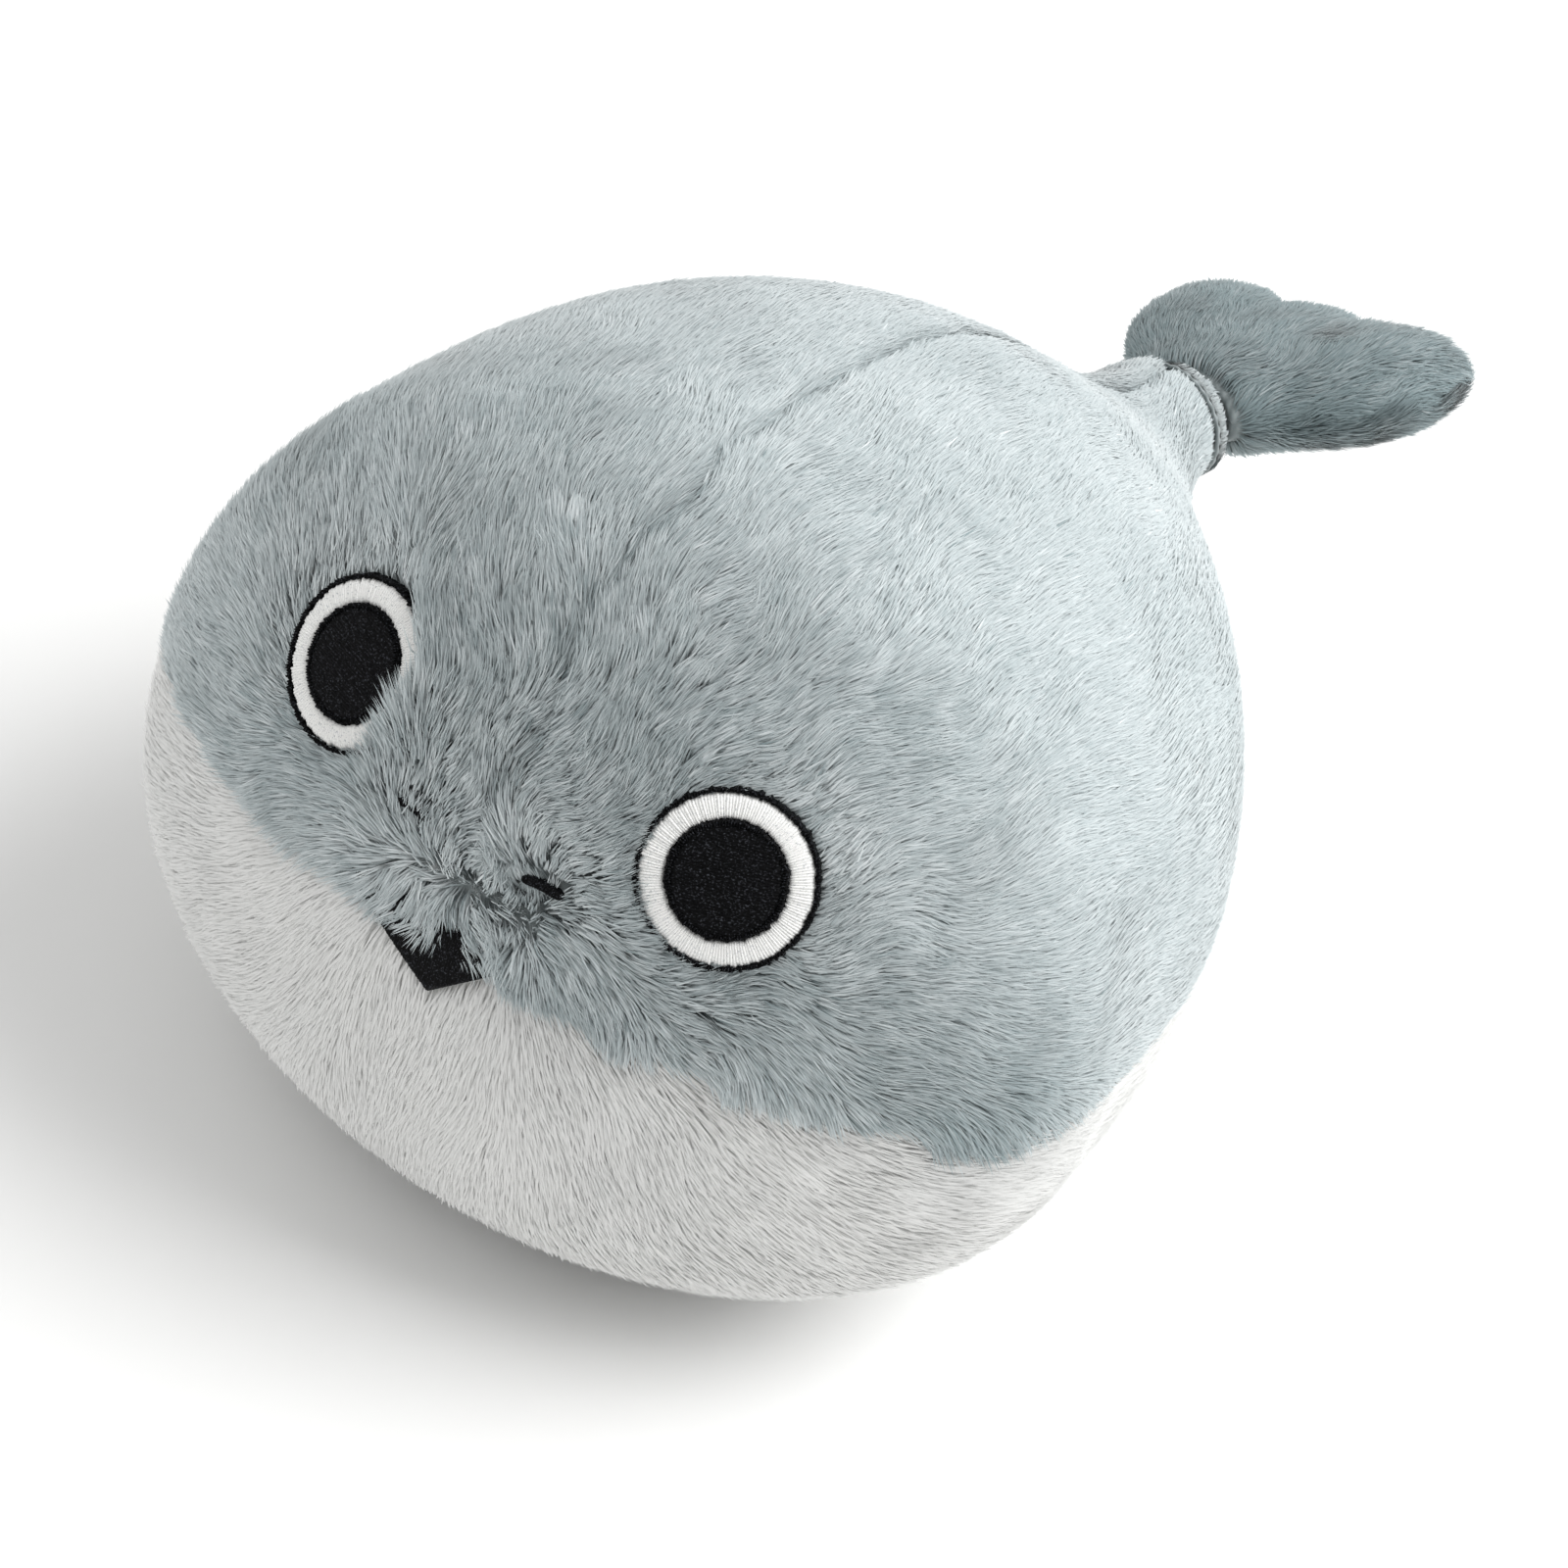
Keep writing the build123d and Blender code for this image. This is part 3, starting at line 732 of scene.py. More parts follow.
GREY_SPACING, WHITE_SPACING = 0.36 * MM, 0.5 * MM
GREY_MOTTLE, WHITE_MOTTLE = 0.06, 0.13
FRONT, REAR, JAW = GIRTH_Y + 5 * MM, GIRTH_Y + 75 * MM, GIRTH_Y - 15 * MM
left, right_side = (lambda p: p[:, 0] > 0), (lambda p: p[:, 0] <= 0)
back_regions = {
    "grey_pile_cheek_left": lambda p: left(p) & (p[:, 1] < FRONT),
    "grey_pile_cheek_right": lambda p: right_side(p) & (p[:, 1] < FRONT),
    "grey_pile_flank_left": lambda p: left(p) & (p[:, 1] >= FRONT) & (p[:, 1] < REAR),
    "grey_pile_flank_right": lambda p: right_side(p) & (p[:, 1] >= FRONT) & (p[:, 1] < REAR),
    "grey_pile_rear_left": lambda p: left(p) & (p[:, 1] >= REAR),
    "grey_pile_rear_right": lambda p: right_side(p) & (p[:, 1] >= REAR),
}
body_pile(GREY_SPACING, lambda p: side_of_seam(p) > 0, grey_pile, back_regions, 1, GREY_MOTTLE)
belly_regions = {
    "white_pile_jaw": lambda p: p[:, 1] < JAW,
    "white_pile_side_left": lambda p: left(p) & (p[:, 1] >= JAW),
    "white_pile_side_right": lambda p: right_side(p) & (p[:, 1] >= JAW),
}
on_belly = lambda p: side_of_seam(p) <= 0
body_pile(WHITE_SPACING, on_belly, white_pile, belly_regions, 2, WHITE_MOTTLE, opaque=False)

# %% [markdown]
# Embroidery. A machine fills a shape with straight stitches that lie side by side, 0.47 mm apart, and it covers
# a narrow ring with stitches that point outwards, called satin. Each thread is modelled as a small ridge, since
# the light on those ridges is what makes embroidery look like thread. Stitches never end on one exact line, so
# every thread of a ring has its own two ends.

# %% How embroidery is made
THREAD_PITCH = 0.47 * MM
SUNK = 1.6 * MM


def on_face(place, u, v, height):
    """Points over the snout's ellipsoid: from (u, v) in a place's plane along its normal, then on by height."""
    origin, across, upward_way, outward = place
    start = origin + u[..., None] * across + v[..., None] * upward_way - GIRTH
    shrink = 1 / np.array([BODY_RADIUS, NOSE_LENGTH, BODY_RADIUS])
    p, d = start * shrink, outward * shrink
    a, b, c = (d * d).sum(), (p * d).sum(-1), (p * p).sum(-1) - 1
    reach = (-b + np.sqrt(np.maximum(b * b - a * c, 0))) / a
    return GIRTH + start + (reach + height)[..., None] * outward


def add_piece(name, points, face_sets, material, body, slot, *nodes):
    """A finished piece: its mesh, material, the body it rides on and the nodes it stands for; slot is not used."""
    piece = mesh_piece(name, points, *face_sets)
    piece.data.materials.append(material)
    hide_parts(*nodes)
    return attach(piece, body)


def satin_ring(place, inner, outer, height, pitch, seed):
    """A closed ring of outward stitches: a crowned top with a ridge for each thread, and a sunken underside."""
    chance = np.random.default_rng(seed)
    count = round(np.pi * (inner + outer) / pitch)
    columns, top_rows = count * 5, 9
    angle = np.arange(columns) / columns * 2 * np.pi
    thread = np.arange(columns) // 5
    ridge = np.sin(np.pi * ((np.arange(columns) % 5) + 0.5) / 5)
    starts = inner + chance.normal(0, 0.12 * MM, count)[thread]
    ends = outer + chance.normal(0, 0.16 * MM, count)[thread]
    across = np.linspace(0, 1, top_rows)[:, None]
    crown = (1 - (2 * across - 1) ** 4) ** 0.5
    lift = height * (0.25 + 0.75 * crown) * (0.55 + 0.45 * ridge) * chance.uniform(0.88, 1.08, count)[thread]
    radius = np.concatenate([starts + (ends - starts) * across, ends[None], starts[None]])
    lift = np.concatenate([lift, np.full((2, columns), -SUNK)])
    points = on_face(place, radius * np.cos(angle), radius * np.sin(angle), lift)
    return points.reshape(-1, 3), [grid_faces(top_rows + 2, columns, closed_rows=True)]


def filled_patch(line, low, high, columns, at, height, pitch, flat=0.0):
    """Rows of thread from low to high along a line: ridges across it, needle holes in steps, a flat underside."""
    row = np.arange(1, len(line) - 1)
    across = np.linspace(0, 1, columns)
    a = np.broadcast_to(line[row][:, None], (len(row), columns))
    b = low[row][:, None] + (high - low)[row][:, None] * across
    thread = np.floor(a / pitch)
    ridge = np.abs(np.sin(np.pi * a / pitch))
    hole = np.exp(-(((b / (7 * pitch) + thread / 3) % 1 - 0.5) ** 2) / 0.006)
    edge = np.minimum(1, np.minimum(across, 1 - across) * 12) ** 0.5
    ends = np.sqrt(np.clip(1 - np.abs(np.linspace(-1, 1, len(row)))[:, None] ** 12, 0.05, 1))
    lift = (height * (0.78 + 0.22 * ridge) - 0.16 * height * hole) * edge * ends
    lift = np.where(flat > 0, height, lift)
    under = np.full(lift[:, ::6].shape, -SUNK if flat == 0 else -flat)
    sides = ((a, a[:, ::6]), (b, b[:, ::6]), (lift, under))
    rings = [np.concatenate([top, low_side[:, ::-1]], 1) for top, low_side in sides]
    points = at(*rings)
    rows, around = rings[0].shape
    tips = at(line[[0, -1]], (low + high)[[0, -1]] / 2, np.full(2, -SUNK if flat == 0 else 0.0))
    return np.concatenate([points.reshape(-1, 3), tips]), [grid_faces(rows, around), pole_faces(rows, around)]


def facing_out(points, face_sets):
    """The same surface with its faces turned outwards, which the sign of the volume inside it tells."""
    triangles = np.concatenate([t for f in face_sets for t in (f[:, [0, 1, 2]], f[:, [0, 2, -1]])])
    middle = points.mean(0)
    a, b, c = (points[triangles[:, n]] - middle for n in range(3))
    inside_out = (a * np.cross(b, c)).sum() < 0
    return points, [faces[:, ::-1] if inside_out else faces for faces in face_sets]


print("threads lie", THREAD_PITCH / MM, "mm apart")

# %% [markdown]
# Embroidery thread is trilobal polyester, three-cornered inside so that it glitters. It is smoother than the
# pile, so it takes soft highlights. Its colour has small painted flecks: lighter ones on the black thread, a
# painted glint where the twist turns to the light, and darker ones on the white thread, painted shade between
# its filaments. The black thread gets very little gloss, because dyed black thread that lies this close
# swallows nearly all light.

# %% Thread materials


def thread_material(name, colour, painted_fleck, roughness, gloss):
    """Trilobal polyester thread: smooth filaments, with painted flecks about 0.35 mm apart: a painted glint where
    they are lighter, painted shade where they are darker.
    """
    material, shader = new_material(name, Roughness=roughness, Specular_IOR_Level=gloss, IOR=1.54)
    place = add_node(material, "ShaderNodeTexCoord").outputs["Object"]
    twist = add_node(material, "ShaderNodeTexNoise", [("Vector", place)], Scale=1 / (0.35 * MM), Detail=2.0)
    twist = twist.outputs["Fac"]
    painted_flecks = add_node(material, "ShaderNodeMapRange", [("Value", twist)], From_Min=0.56, From_Max=0.74)
    two_tones(material, shader, painted_flecks.outputs["Result"], colour, painted_fleck, twist, Strength=0.5, Distance=0.12 * MM)
    return material


# Painted flecks: on the black thread they are a lighter grey, a painted glint; on the white one a darker grey,
# painted shade.
black_thread = thread_material("black_embroidery_thread", "#050506", "#45474d", 0.5, 0.06)
white_thread = thread_material("white_embroidery_thread", "#f4f4f2", "#b4b8bb", 0.5, 0.25)
thread_of = {"black": black_thread, "white": white_thread}

# %% [markdown]
# An eye is four layers of stitching: a filled black disc, a satin border on it, the white satin ring, and a
# thin dark outline. They are sewn flat on the fabric, so each of them follows the round of the face.

# %% Eyes
OUTLINE_WIDTH, PUPIL_RADIUS = 0.9 * MM, 10.3 * MM
BORDER_WIDTH = 1.2 * MM
WHITE_HEIGHT, DARK_HEIGHT = 0.9 * MM, 1.1 * MM


def embroider(name, shape, material, slot, *nodes):
    """Adds a piece of embroidery, faces outwards."""
    return add_piece(name, *facing_out(*shape), material, "body", slot, *nodes)


for sign, side_name in ((1, "left"), (-1, "right")):
    eye = face_place(sign * EYE_SIDES[sign], EYE_HEIGHT)
    rows_up = np.linspace(-PUPIL_RADIUS, PUPIL_RADIUS, 166)
    half = np.sqrt(np.maximum(PUPIL_RADIUS**2 - rows_up**2, 0))
    on_eye = lambda v, u, h, eye=eye: on_face(eye, u, v, h)
    disc = filled_patch(rows_up, -half, half, 49, on_eye, DARK_HEIGHT, THREAD_PITCH * 1.1)
    embroider(f"pupil_fill_{side_name}", disc, black_thread, "black_thread", f"pupil_{side_name}")
    white_outer = EYE_RADIUS - OUTLINE_WIDTH
    for part, inner, outer, height, thread, nodes in (
        ("pupil_border", PUPIL_RADIUS - BORDER_WIDTH, PUPIL_RADIUS, 1.25 * DARK_HEIGHT, "black", ()),
        ("eye_satin", PUPIL_RADIUS, white_outer, WHITE_HEIGHT, "white", (f"eye_white_{side_name}",)),
        ("eye_outline", white_outer, EYE_RADIUS, DARK_HEIGHT, "black", (f"eye_rim_{side_name}",)),
    ):
        ring = satin_ring(eye, inner, outer, height, THREAD_PITCH, 41 + sign)
        embroider(f"{part}_{side_name}", ring, thread_of[thread], f"{thread}_thread", *nodes)

# %% [markdown]
# A nostril is a short arched bar of satin stitches, and the mouth is a black filled triangle whose upper edge
# hides under the hair of the lip. Its corner on the toy's right is farther out, so it smiles a little crookedly.

# %% Nostrils and mouth
NOSTRIL_LENGTH, NOSTRIL_WIDTH, NOSTRIL_ARCH = 8.0 * MM, 1.9 * MM, 13.0 * MM


def arched_bar(place, length, width, arch, height):
    """Satin across an arc: the arc's angle one way, a closed round section the other, and a ridge for each thread."""
    threads = round(length / THREAD_PITCH)
    along = np.linspace(-1, 1, threads * 5)[:, None]
    section = np.arange(14) / 14 * 2 * np.pi
    taper = np.sqrt(1 - 0.96 * np.abs(along) ** 5)
    ridge = 0.82 + 0.18 * np.abs(np.sin(np.pi * (along + 1) / 2 * threads))
    radius = arch + np.cos(section) * width / 2 * taper
    swing = along * length / 2 / arch + 0 * section
    up = np.sin(section)
    lift = np.where(up > 0, up * height * ridge, up * SUNK) * taper
    points = on_face(place, radius * np.sin(swing), radius * np.cos(swing) - arch, lift)
    tips = points[[0, -1]].mean(1)
    return np.concatenate([points.reshape(-1, 3), tips]), [grid_faces(*lift.shape), pole_faces(*lift.shape)]


for sign, side_name in ((1, "left"), (-1, "right")):
    nostril = face_place(sign * NOSTRIL_SIDE, NOSTRIL_HEIGHT)
    bar = arched_bar(nostril, NOSTRIL_LENGTH, NOSTRIL_WIDTH, NOSTRIL_ARCH, 1.6 * DARK_HEIGHT)
    embroider(f"nostril_satin_{side_name}", bar, black_thread, "black_thread", f"nostril_{side_name}")

straight_on = (GIRTH, np.array([1.0, 0, 0]), np.array([0, 0, 1.0]), np.array([0, -1.0, 0]))
across_mouth = np.linspace(-MOUTH_RIGHT, MOUTH_LEFT, 220)
lip_edge = SEAM_AT_NOSE + 2.0 * MM * (1 - np.linspace(-1, 1, 220) ** 2)
on_mouth = lambda x, z, h: on_face(straight_on, x, z, h)
mouth = filled_patch(across_mouth, jaw_line(across_mouth), lip_edge, 25, on_mouth, DARK_HEIGHT, THREAD_PITCH)
embroider("mouth_fill", mouth, black_thread, "black_thread", "mouth_patch")
print("the mouth is", (MOUTH_LEFT + MOUTH_RIGHT) / MM, "mm wide")

# %% [markdown]
# The tail is sewn from two small panels, an upper and a lower one. It is swung towards the toy's left, rolled,
# and lifted a little. Its form is the union of three eggs, two lobes and a middle. Seen from the middle, the
# surface in any direction is where a ray leaves the last egg, and a ball about the pivot hollows the root.

# %% The tail's form
TAIL_SWING, TAIL_ROLL, TAIL_LIFT = math.radians(14), math.radians(22), math.radians(5)
swing = Matrix.Rotation(-TAIL_SWING, 3, "Z") @ Matrix.Rotation(TAIL_LIFT, 3, "X")
TAIL_WAY = np.array(swing @ Vector((0, 1, 0)))
SPAN_WAY = np.array(swing @ Matrix.Rotation(-TAIL_ROLL, 3, "Y") @ Vector((1, 0, 0)))
TAIL_UP = np.cross(SPAN_WAY, TAIL_WAY)
PIVOT = GIRTH + np.array([0, PIVOT_Y, 0])
RING_INNER, RING_THICK, NECK_GAP = DOME_RADIUS + 0.5 * MM, 2.0 * MM, 0.5 * MM
CUP_RADIUS = RING_INNER + RING_THICK + NECK_GAP
LOBE_SIDE, LOBE_REACH, LOBE_SPLAY = 18 * MM, 47 * MM, math.radians(42)
LOBE_SIZE = np.array([20.0, 28.5, 11.5]) * MM
MIDDLE_REACH, MIDDLE_SIZE = 41 * MM, np.array([22.5, 30.5, 12.0]) * MM


def exit_distance(ways, centre, size, splay):
    """How far a ray from the tail's middle goes until it leaves an egg turned by its splay: a quadratic's root."""
    turn = np.array([[math.cos(splay), -math.sin(splay), 0], [math.sin(splay), math.cos(splay), 0], [0, 0, 1]])
    p, d = (-centre @ turn.T) / size, (ways @ turn.T) / size
    a, b, c = (d * d).sum(-1), (d * p).sum(-1), (p * p).sum() - 1
    return (-b + np.sqrt(b * b - a * c)) / a


def tail_points(polar, angle, inset):
    """The tail from its middle outwards: the eggs' outer surface, blended a little, cut by the ball at its root."""
    ways = np.stack([np.sin(polar) * np.cos(angle), np.cos(polar), np.sin(polar) * np.sin(angle)], -1)
    middle = np.array([0, MIDDLE_REACH, 0])
    reach = exit_distance(ways, np.zeros(3), MIDDLE_SIZE - inset, 0) ** 14
    for sign in (-1, 1):
        lobe = np.array([sign * LOBE_SIDE, LOBE_REACH, 0]) - middle
        reach = reach + exit_distance(ways, lobe, LOBE_SIZE - inset, sign * LOBE_SPLAY) ** 14
    reach = reach ** (1 / 14)
    toward = ways @ middle
    under_root = toward**2 - MIDDLE_REACH**2 + (CUP_RADIUS + inset) ** 2
    cup = np.where((under_root > 0) & (toward < 0), -toward - np.sqrt(np.maximum(under_root, 0)), 1.0)
    local = middle + ways * np.minimum(reach, cup)[..., None]
    return PIVOT + local @ np.stack([SPAN_WAY, TAIL_WAY, TAIL_UP])


TAIL_ROWS, TAIL_COLUMNS = 80, 120
polars, turns = np.meshgrid(
    np.linspace(0.03, np.pi - 0.03, TAIL_ROWS), np.arange(TAIL_COLUMNS) / TAIL_COLUMNS * 2 * np.pi, indexing="ij"
)
tail_poles = tail_points(np.array([0.0, np.pi]), np.zeros(2), SKIN_INSET)
tail_skin = np.concatenate([tail_points(polars, turns, SKIN_INSET).reshape(-1, 3), tail_poles])
tail_skin, (tail_quads, tail_fans) = facing_out(
    tail_skin, [grid_faces(TAIL_ROWS, TAIL_COLUMNS), pole_faces(TAIL_ROWS, TAIL_COLUMNS)]
)
tail_edge = np.abs((tail_skin - PIVOT) @ TAIL_UP)
at_cup = 1 - smooth_step(0.5 * MM, 5 * MM, np.linalg.norm(tail_skin - PIVOT, axis=1) - CUP_RADIUS - SKIN_INSET)
tail_held = np.clip(1 - smooth_step(0, 2.5 * MM, tail_edge) + at_cup, 0, 1)
tail_skin = stuff("stuffed_tail", tail_skin, [tail_quads, tail_fans], tail_held, TAIL_SWELL)
print("the tail's skin is", np.round(np.ptp(tail_skin, 0) / MM, 1), "mm in size")

# %% [markdown]
# The tail's panels meet in a seam all round its edge, where the hairs are shorter and lie flat, and their tone is
# painted darker as the shade in that groove. The pile runs away from the root, and its tone is painted darker
# than the back's, as the shade that the tail lies in.

# %% Tail panels and their pile
for panel_name, sign in (("upper", 1), ("lower", -1)):
    wanted = lambda faces, sign=sign: faces[((tail_skin[faces].mean(1) - PIVOT) @ TAIL_UP) * sign > 0]
    quads, fans, stands_for = wanted(tail_quads), wanted(tail_fans), f"tail_panel_{panel_name}"
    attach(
        panel(f"grey_tail_{panel_name}", tail_skin, quads, fans, grey_backing, "grey_pile", 0.8, stands_for), "tail"
    )


def tail_lay(points, normals, away_from, swirl):
    """Away from a point, along the surface, with a swirl."""
    lay = unit(points - away_from)
    lay = unit(lay - normals * (lay * normals).sum(1, keepdims=True))
    return turned(lay, normals, swirl * wander(points, 16 * MM, 51))


TAIL_PILE = 6.6 * MM
chance = np.random.default_rng(3)
tail_triangles = np.concatenate([tail_quads[:, [0, 1, 2]], tail_quads[:, [0, 2, 3]], tail_fans])
roots, normals = scatter(tail_skin, tail_triangles, GREY_SPACING, chance)
outside = np.linalg.norm(roots - PIVOT, axis=1) > CUP_RADIUS + 2.9 * MM
roots, normals = roots[outside], normals[outside]
edge_groove = np.exp(-((((roots - PIVOT) @ TAIL_UP) / (1.8 * MM)) ** 2))
length, wild = TAIL_PILE * (1 - 0.3 * edge_groove), np.full(len(roots), 0.6)
lay = tail_lay(roots, normals, PIVOT, 0.5)
blades = grow_hairs(roots, normals, lay, length, 0.4 * edge_groove, wild, chance)
# Painted shade: the tail gets a low tone, for the toy's shade that it lies in, and its edge's groove a darker one.
tone = hair_tones(roots, 0.08, wild, chance) - 0.25 * edge_groove
pile_piece("grey_pile_tail", blades, normals, tone, grey_pile, "tail")
print("the tail has", len(roots), "hairs")

# %% [markdown]
# Between the stock and the tail the fabric is gathered by a running thread. The ring of gathers is a band round
# the pivot with a wave of pleats in it. It turns sideways with the tail but doesn't nod with it.

# %% Neck ring
RING_FROM, RING_TO = math.radians(22), math.radians(44)
NECK_PILE = 6.0 * MM


def neck_point(radius, from_way, around):
    """A point round the pivot: a radius, an angle from the tail's direction, and an angle round it."""
    across = np.cos(around)[..., None] * SPAN_WAY + np.sin(around)[..., None] * TAIL_UP
    return PIVOT + radius[..., None] * (np.cos(from_way)[..., None] * TAIL_WAY + np.sin(from_way)[..., None] * across)


section = np.arange(20)[:, None] / 20 * 2 * np.pi
around = np.arange(280) / 280 * 2 * np.pi
pleats = np.sin(28 * around + 1.2 * np.sin(3 * around))
band_angle = (RING_FROM + RING_TO) / 2 + (RING_TO - RING_FROM) / 2 * np.cos(section) + 0 * around
over = np.sin(section)
band_radius = RING_INNER + RING_THICK * (0.5 + over * np.where(over > 0, 0.36 + 0.14 * pleats, 0.5))
ring_shape = facing_out(
    neck_point(band_radius, band_angle, 0 * section + around).reshape(-1, 3),
    [grid_faces(20, 280, closed_rows=True)],
)
add_piece("gathered_neck_ring", *ring_shape, grey_backing, "tail_neck", "grey_pile", "tail_neck_ring")

chance = np.random.default_rng(4)
count, wild = 14000, np.full(14000, 0.5)
from_way = np.arccos(chance.uniform(math.cos(RING_TO), math.cos(RING_FROM), count))
around = chance.uniform(0, 2 * np.pi, count)
roots = neck_point(np.full(count, RING_INNER + RING_THICK * 0.7), from_way, around)
normals = unit(roots - PIVOT)
lay = tail_lay(roots, normals, PIVOT - TAIL_WAY, 0.3)
blades = grow_hairs(roots, normals, lay, np.full(count, NECK_PILE), np.full(count, 0.2), wild, chance)
tone = hair_tones(roots, 0.5, wild, chance)
pile_piece("grey_pile_neck", blades, normals, tone, grey_pile, "tail_neck")
print("the neck ring has", count, "hairs")

# %% [markdown]
# What holds the toy together. The opening for the stuffing is closed by hand with a ladder of short stitches in
# the right side seam. All nine are one shape, a thin rod whose ends dip into the fabric, set down at each place.

# %% Closing stitches
STITCH_COUNT, STITCH_PITCH, STITCH_LENGTH, STITCH_WIDTH = 9, 6 * MM, 5 * MM, 0.8 * MM
OPENING_Y = 90 * MM
ALONG, AROUND = 24, 8
middle_y = OPENING_Y + (np.arange(STITCH_COUNT) - (STITCH_COUNT - 1) / 2) * STITCH_PITCH
t = np.linspace(-1, 1, ALONG)[None, :, None]
turn = (np.arange(AROUND) / AROUND * 2 * np.pi)[None, None, :]
y = middle_y[:, None, None] + t * STITCH_LENGTH / 2
thin = STITCH_WIDTH / 2 * np.sqrt(1 - 0.9 * t**4)
out = rear_radius(y) + 0.4 * MM - 1.8 * MM * t**4 + thin * np.cos(turn)
stitches = GIRTH + np.stack([-out, y + 0 * turn, seam_height(y) + thin * np.sin(turn)], -1)
tips = stitches[:, [0, -1]].mean(2)
one = ALONG * AROUND
points = np.concatenate([stitches.reshape(STITCH_COUNT, one, 3), tips], 1)
one_shape = facing_out(points[0], [grid_faces(ALONG, AROUND), pole_faces(ALONG, AROUND)])[1]
step = (np.arange(STITCH_COUNT) * (one + 2))[:, None, None]
face_sets = [(faces[None] + step).reshape(-1, faces.shape[1]) for faces in one_shape]
points = points.reshape(-1, 3)
add_piece("closing_thread", points, face_sets, white_thread, "body", "white_thread", "closing_stitches")
print(STITCH_COUNT, "closing stitches")

# %% [markdown]
# A care label is a short piece of satin tape with its end caught in the side seam. Satin's floats all lie one
# way, so it shines more than the pile does. This one is blank. It is a patch of the embroidery's kind without
# ridges, hung in the air by a function that lets its free end sag.

# %% Care label
LABEL_WIDTH, LABEL_LENGTH, LABEL_THICK, LABEL_INSIDE, LABEL_Y = 14 * MM, 22 * MM, 0.5 * MM, 2.5 * MM, 138 * MM
# Satin's floats are about 0.5 mm apart, and they are drawn twice as coarse, so that they show.
FLOAT_PITCH = 0.9865 * MM
label_material, label_shader = new_material("woven_satin_label", Roughness=0.35, Sheen_Weight=0.2)
place = add_node(label_material, "ShaderNodeTexCoord").outputs["Object"]
scale = WAVE_LENGTH / FLOAT_PITCH
floats = add_node(label_material, "ShaderNodeTexWave", [("Vector", place)], bands_direction="Y", Scale=scale)
floats = floats.outputs["Fac"]
two_tones(label_material, label_shader, floats, "#e4e4e2", "#f7f7f5", floats, Strength=0.3, Distance=0.1 * MM)

slope = float(rear_radius(LABEL_Y + MM) - rear_radius(LABEL_Y - MM)) / (2 * MM)
label_out = unit(np.array([-1.0, -slope, 0]))
label_across = np.array([-label_out[1], label_out[0], 0])
label_foot = GIRTH + np.array([-float(rear_radius(LABEL_Y)), LABEL_Y, float(seam_height(LABEL_Y))])


def hang_label(out, across, lift):
    """A tape that leaves the seam level and bends down under its own weight, a little more on one side."""
    free = np.maximum(out, 0) / LABEL_LENGTH
    drop = free**2 * (5 * MM + 0.12 * across)
    outwards, upwards = (out - 1.5 * MM * free**2)[..., None], (lift - drop)[..., None]
    return label_foot + outwards * label_out + across[..., None] * label_across + upwards * np.array([0, 0, 1.0])


label_line = np.linspace(-LABEL_INSIDE, LABEL_LENGTH - LABEL_INSIDE, 40)
half = np.full(40, LABEL_WIDTH / 2)
half[[0, -1]] *= 0.98
label_shape = filled_patch(label_line, -half, half, 25, hang_label, LABEL_THICK / 2, THREAD_PITCH, LABEL_THICK / 2)
add_piece("satin_label", *facing_out(*label_shape), label_material, "body", "label_satin", "care_label")
print("the label is", LABEL_WIDTH / MM, "by", LABEL_LENGTH / MM, "mm")

# %% [markdown]
# What fills the toy. The filling is loose polyester fibre, which settles into soft lumps, so it is the skin's own
# form, set in and drawn in by noise. The tapes that stay the seams and the cloth behind the embroidery are woven
# cotton. They keep their solids' shapes and only get a weave.

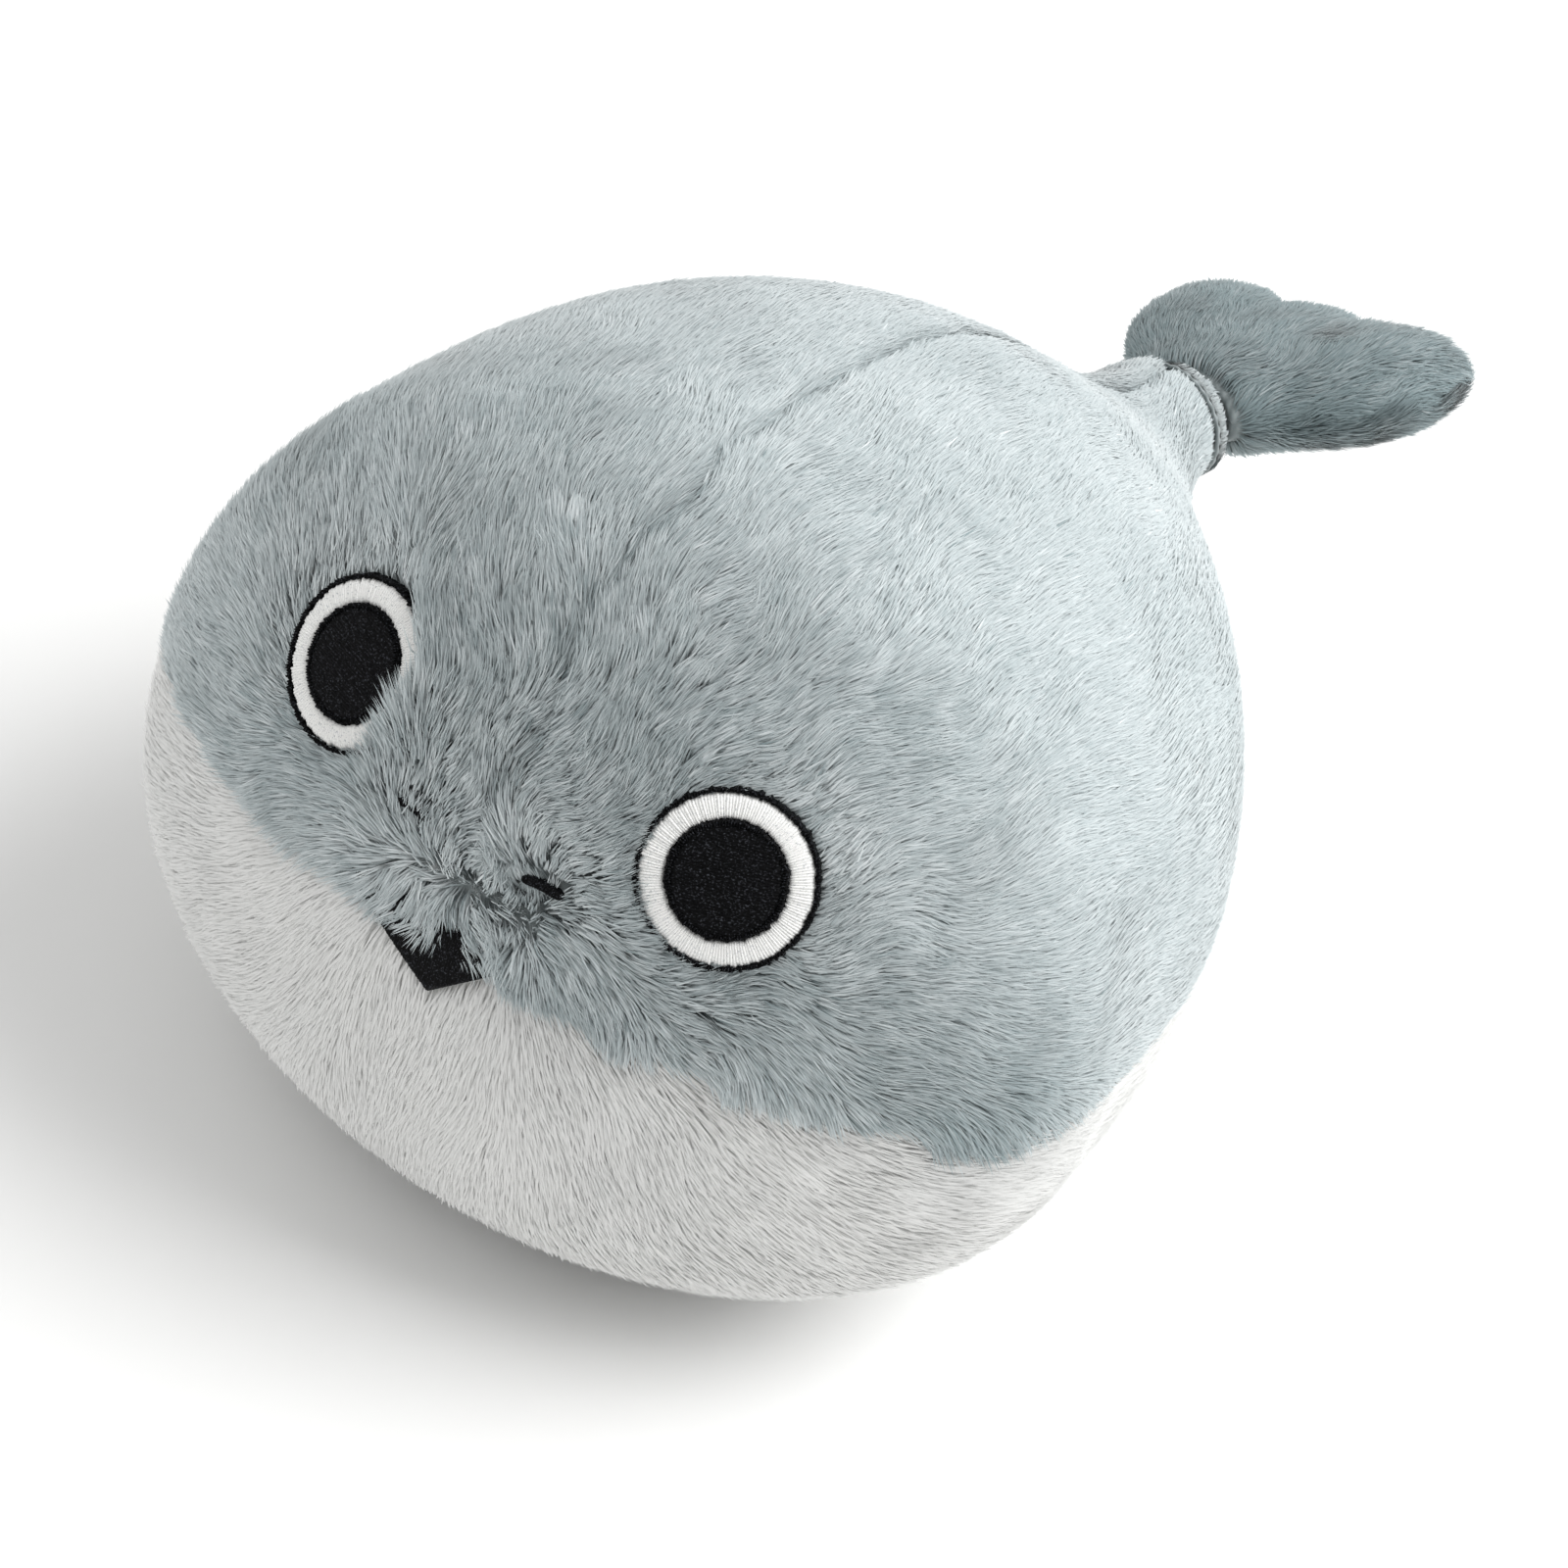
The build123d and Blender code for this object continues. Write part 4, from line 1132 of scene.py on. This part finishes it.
# %% Filling and tapes
fibre_material, fibre_shader = new_material("loose_polyester_fibre", Roughness=0.9, Sheen_Weight=0.3)
place = add_node(fibre_material, "ShaderNodeTexCoord").outputs["Object"]
scale = 1 / (1.5 * MM)
wisps = add_node(fibre_material, "ShaderNodeTexNoise", [("Vector", place)], Scale=scale, Detail=4.0, Distortion=2.0)
wisps = wisps.outputs["Fac"]
two_tones(fibre_material, fibre_shader, wisps, "#d9d9d7", "#fafaf8", wisps, Strength=0.6, Distance=0.8 * MM)
FILL_INSET = 5.2 * MM


def lumpy(points, middle):
    """A filling's surface, drawn in by soft lumps about 12 mm apart."""
    return points + unit(middle - points) * 0.6 * MM * (1 + wander(points, 12 * MM, 61))[:, None]


fill_poles = body_points(np.array([0.0, 1.0]), np.zeros(2), FILL_INSET)
body_fill = np.concatenate([body_points(shares, angles, FILL_INSET).reshape(-1, 3), fill_poles])
body_shape = facing_out(lumpy(body_fill, GIRTH), [skin_quads, skin_fans])
body_filling = add_piece("body_filling", *body_shape, fibre_material, "body", "fibre_fill", "body_stuffing")
tail_fill_poles = tail_points(np.array([0.0, np.pi]), np.zeros(2), FILL_INSET)
tail_fill = np.concatenate([tail_points(polars, turns, FILL_INSET).reshape(-1, 3), tail_fill_poles])
tail_shape = facing_out(lumpy(tail_fill, tail_skin.mean(0)), [tail_quads, tail_fans])
tail_filling = add_piece("tail_filling", *tail_shape, fibre_material, "tail", "fibre_fill", "tail_stuffing")

tape_material, tape_shader = new_material("woven_cotton_tape", Roughness=0.85, Sheen_Weight=0.1)
place = add_node(tape_material, "ShaderNodeTexCoord").outputs["Object"]
yarns = {"distance": "CHEBYCHEV", "Scale": 1 / (0.6 * MM), "Randomness": 0.1}
weave = add_node(tape_material, "ShaderNodeTexVoronoi", [("Vector", place)], **yarns).outputs["Distance"]
two_tones(tape_material, tape_shader, weave, "#f0ede4", "#c9c5b9", weave, invert=True, Distance=0.15 * MM)
for name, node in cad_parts.items():
    if "tape" in name or "backing" in name:
        node.data.materials.clear()
        node.data.materials.append(tape_material)
print("left as solids:", [n for n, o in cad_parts.items() if not o.hide_render])
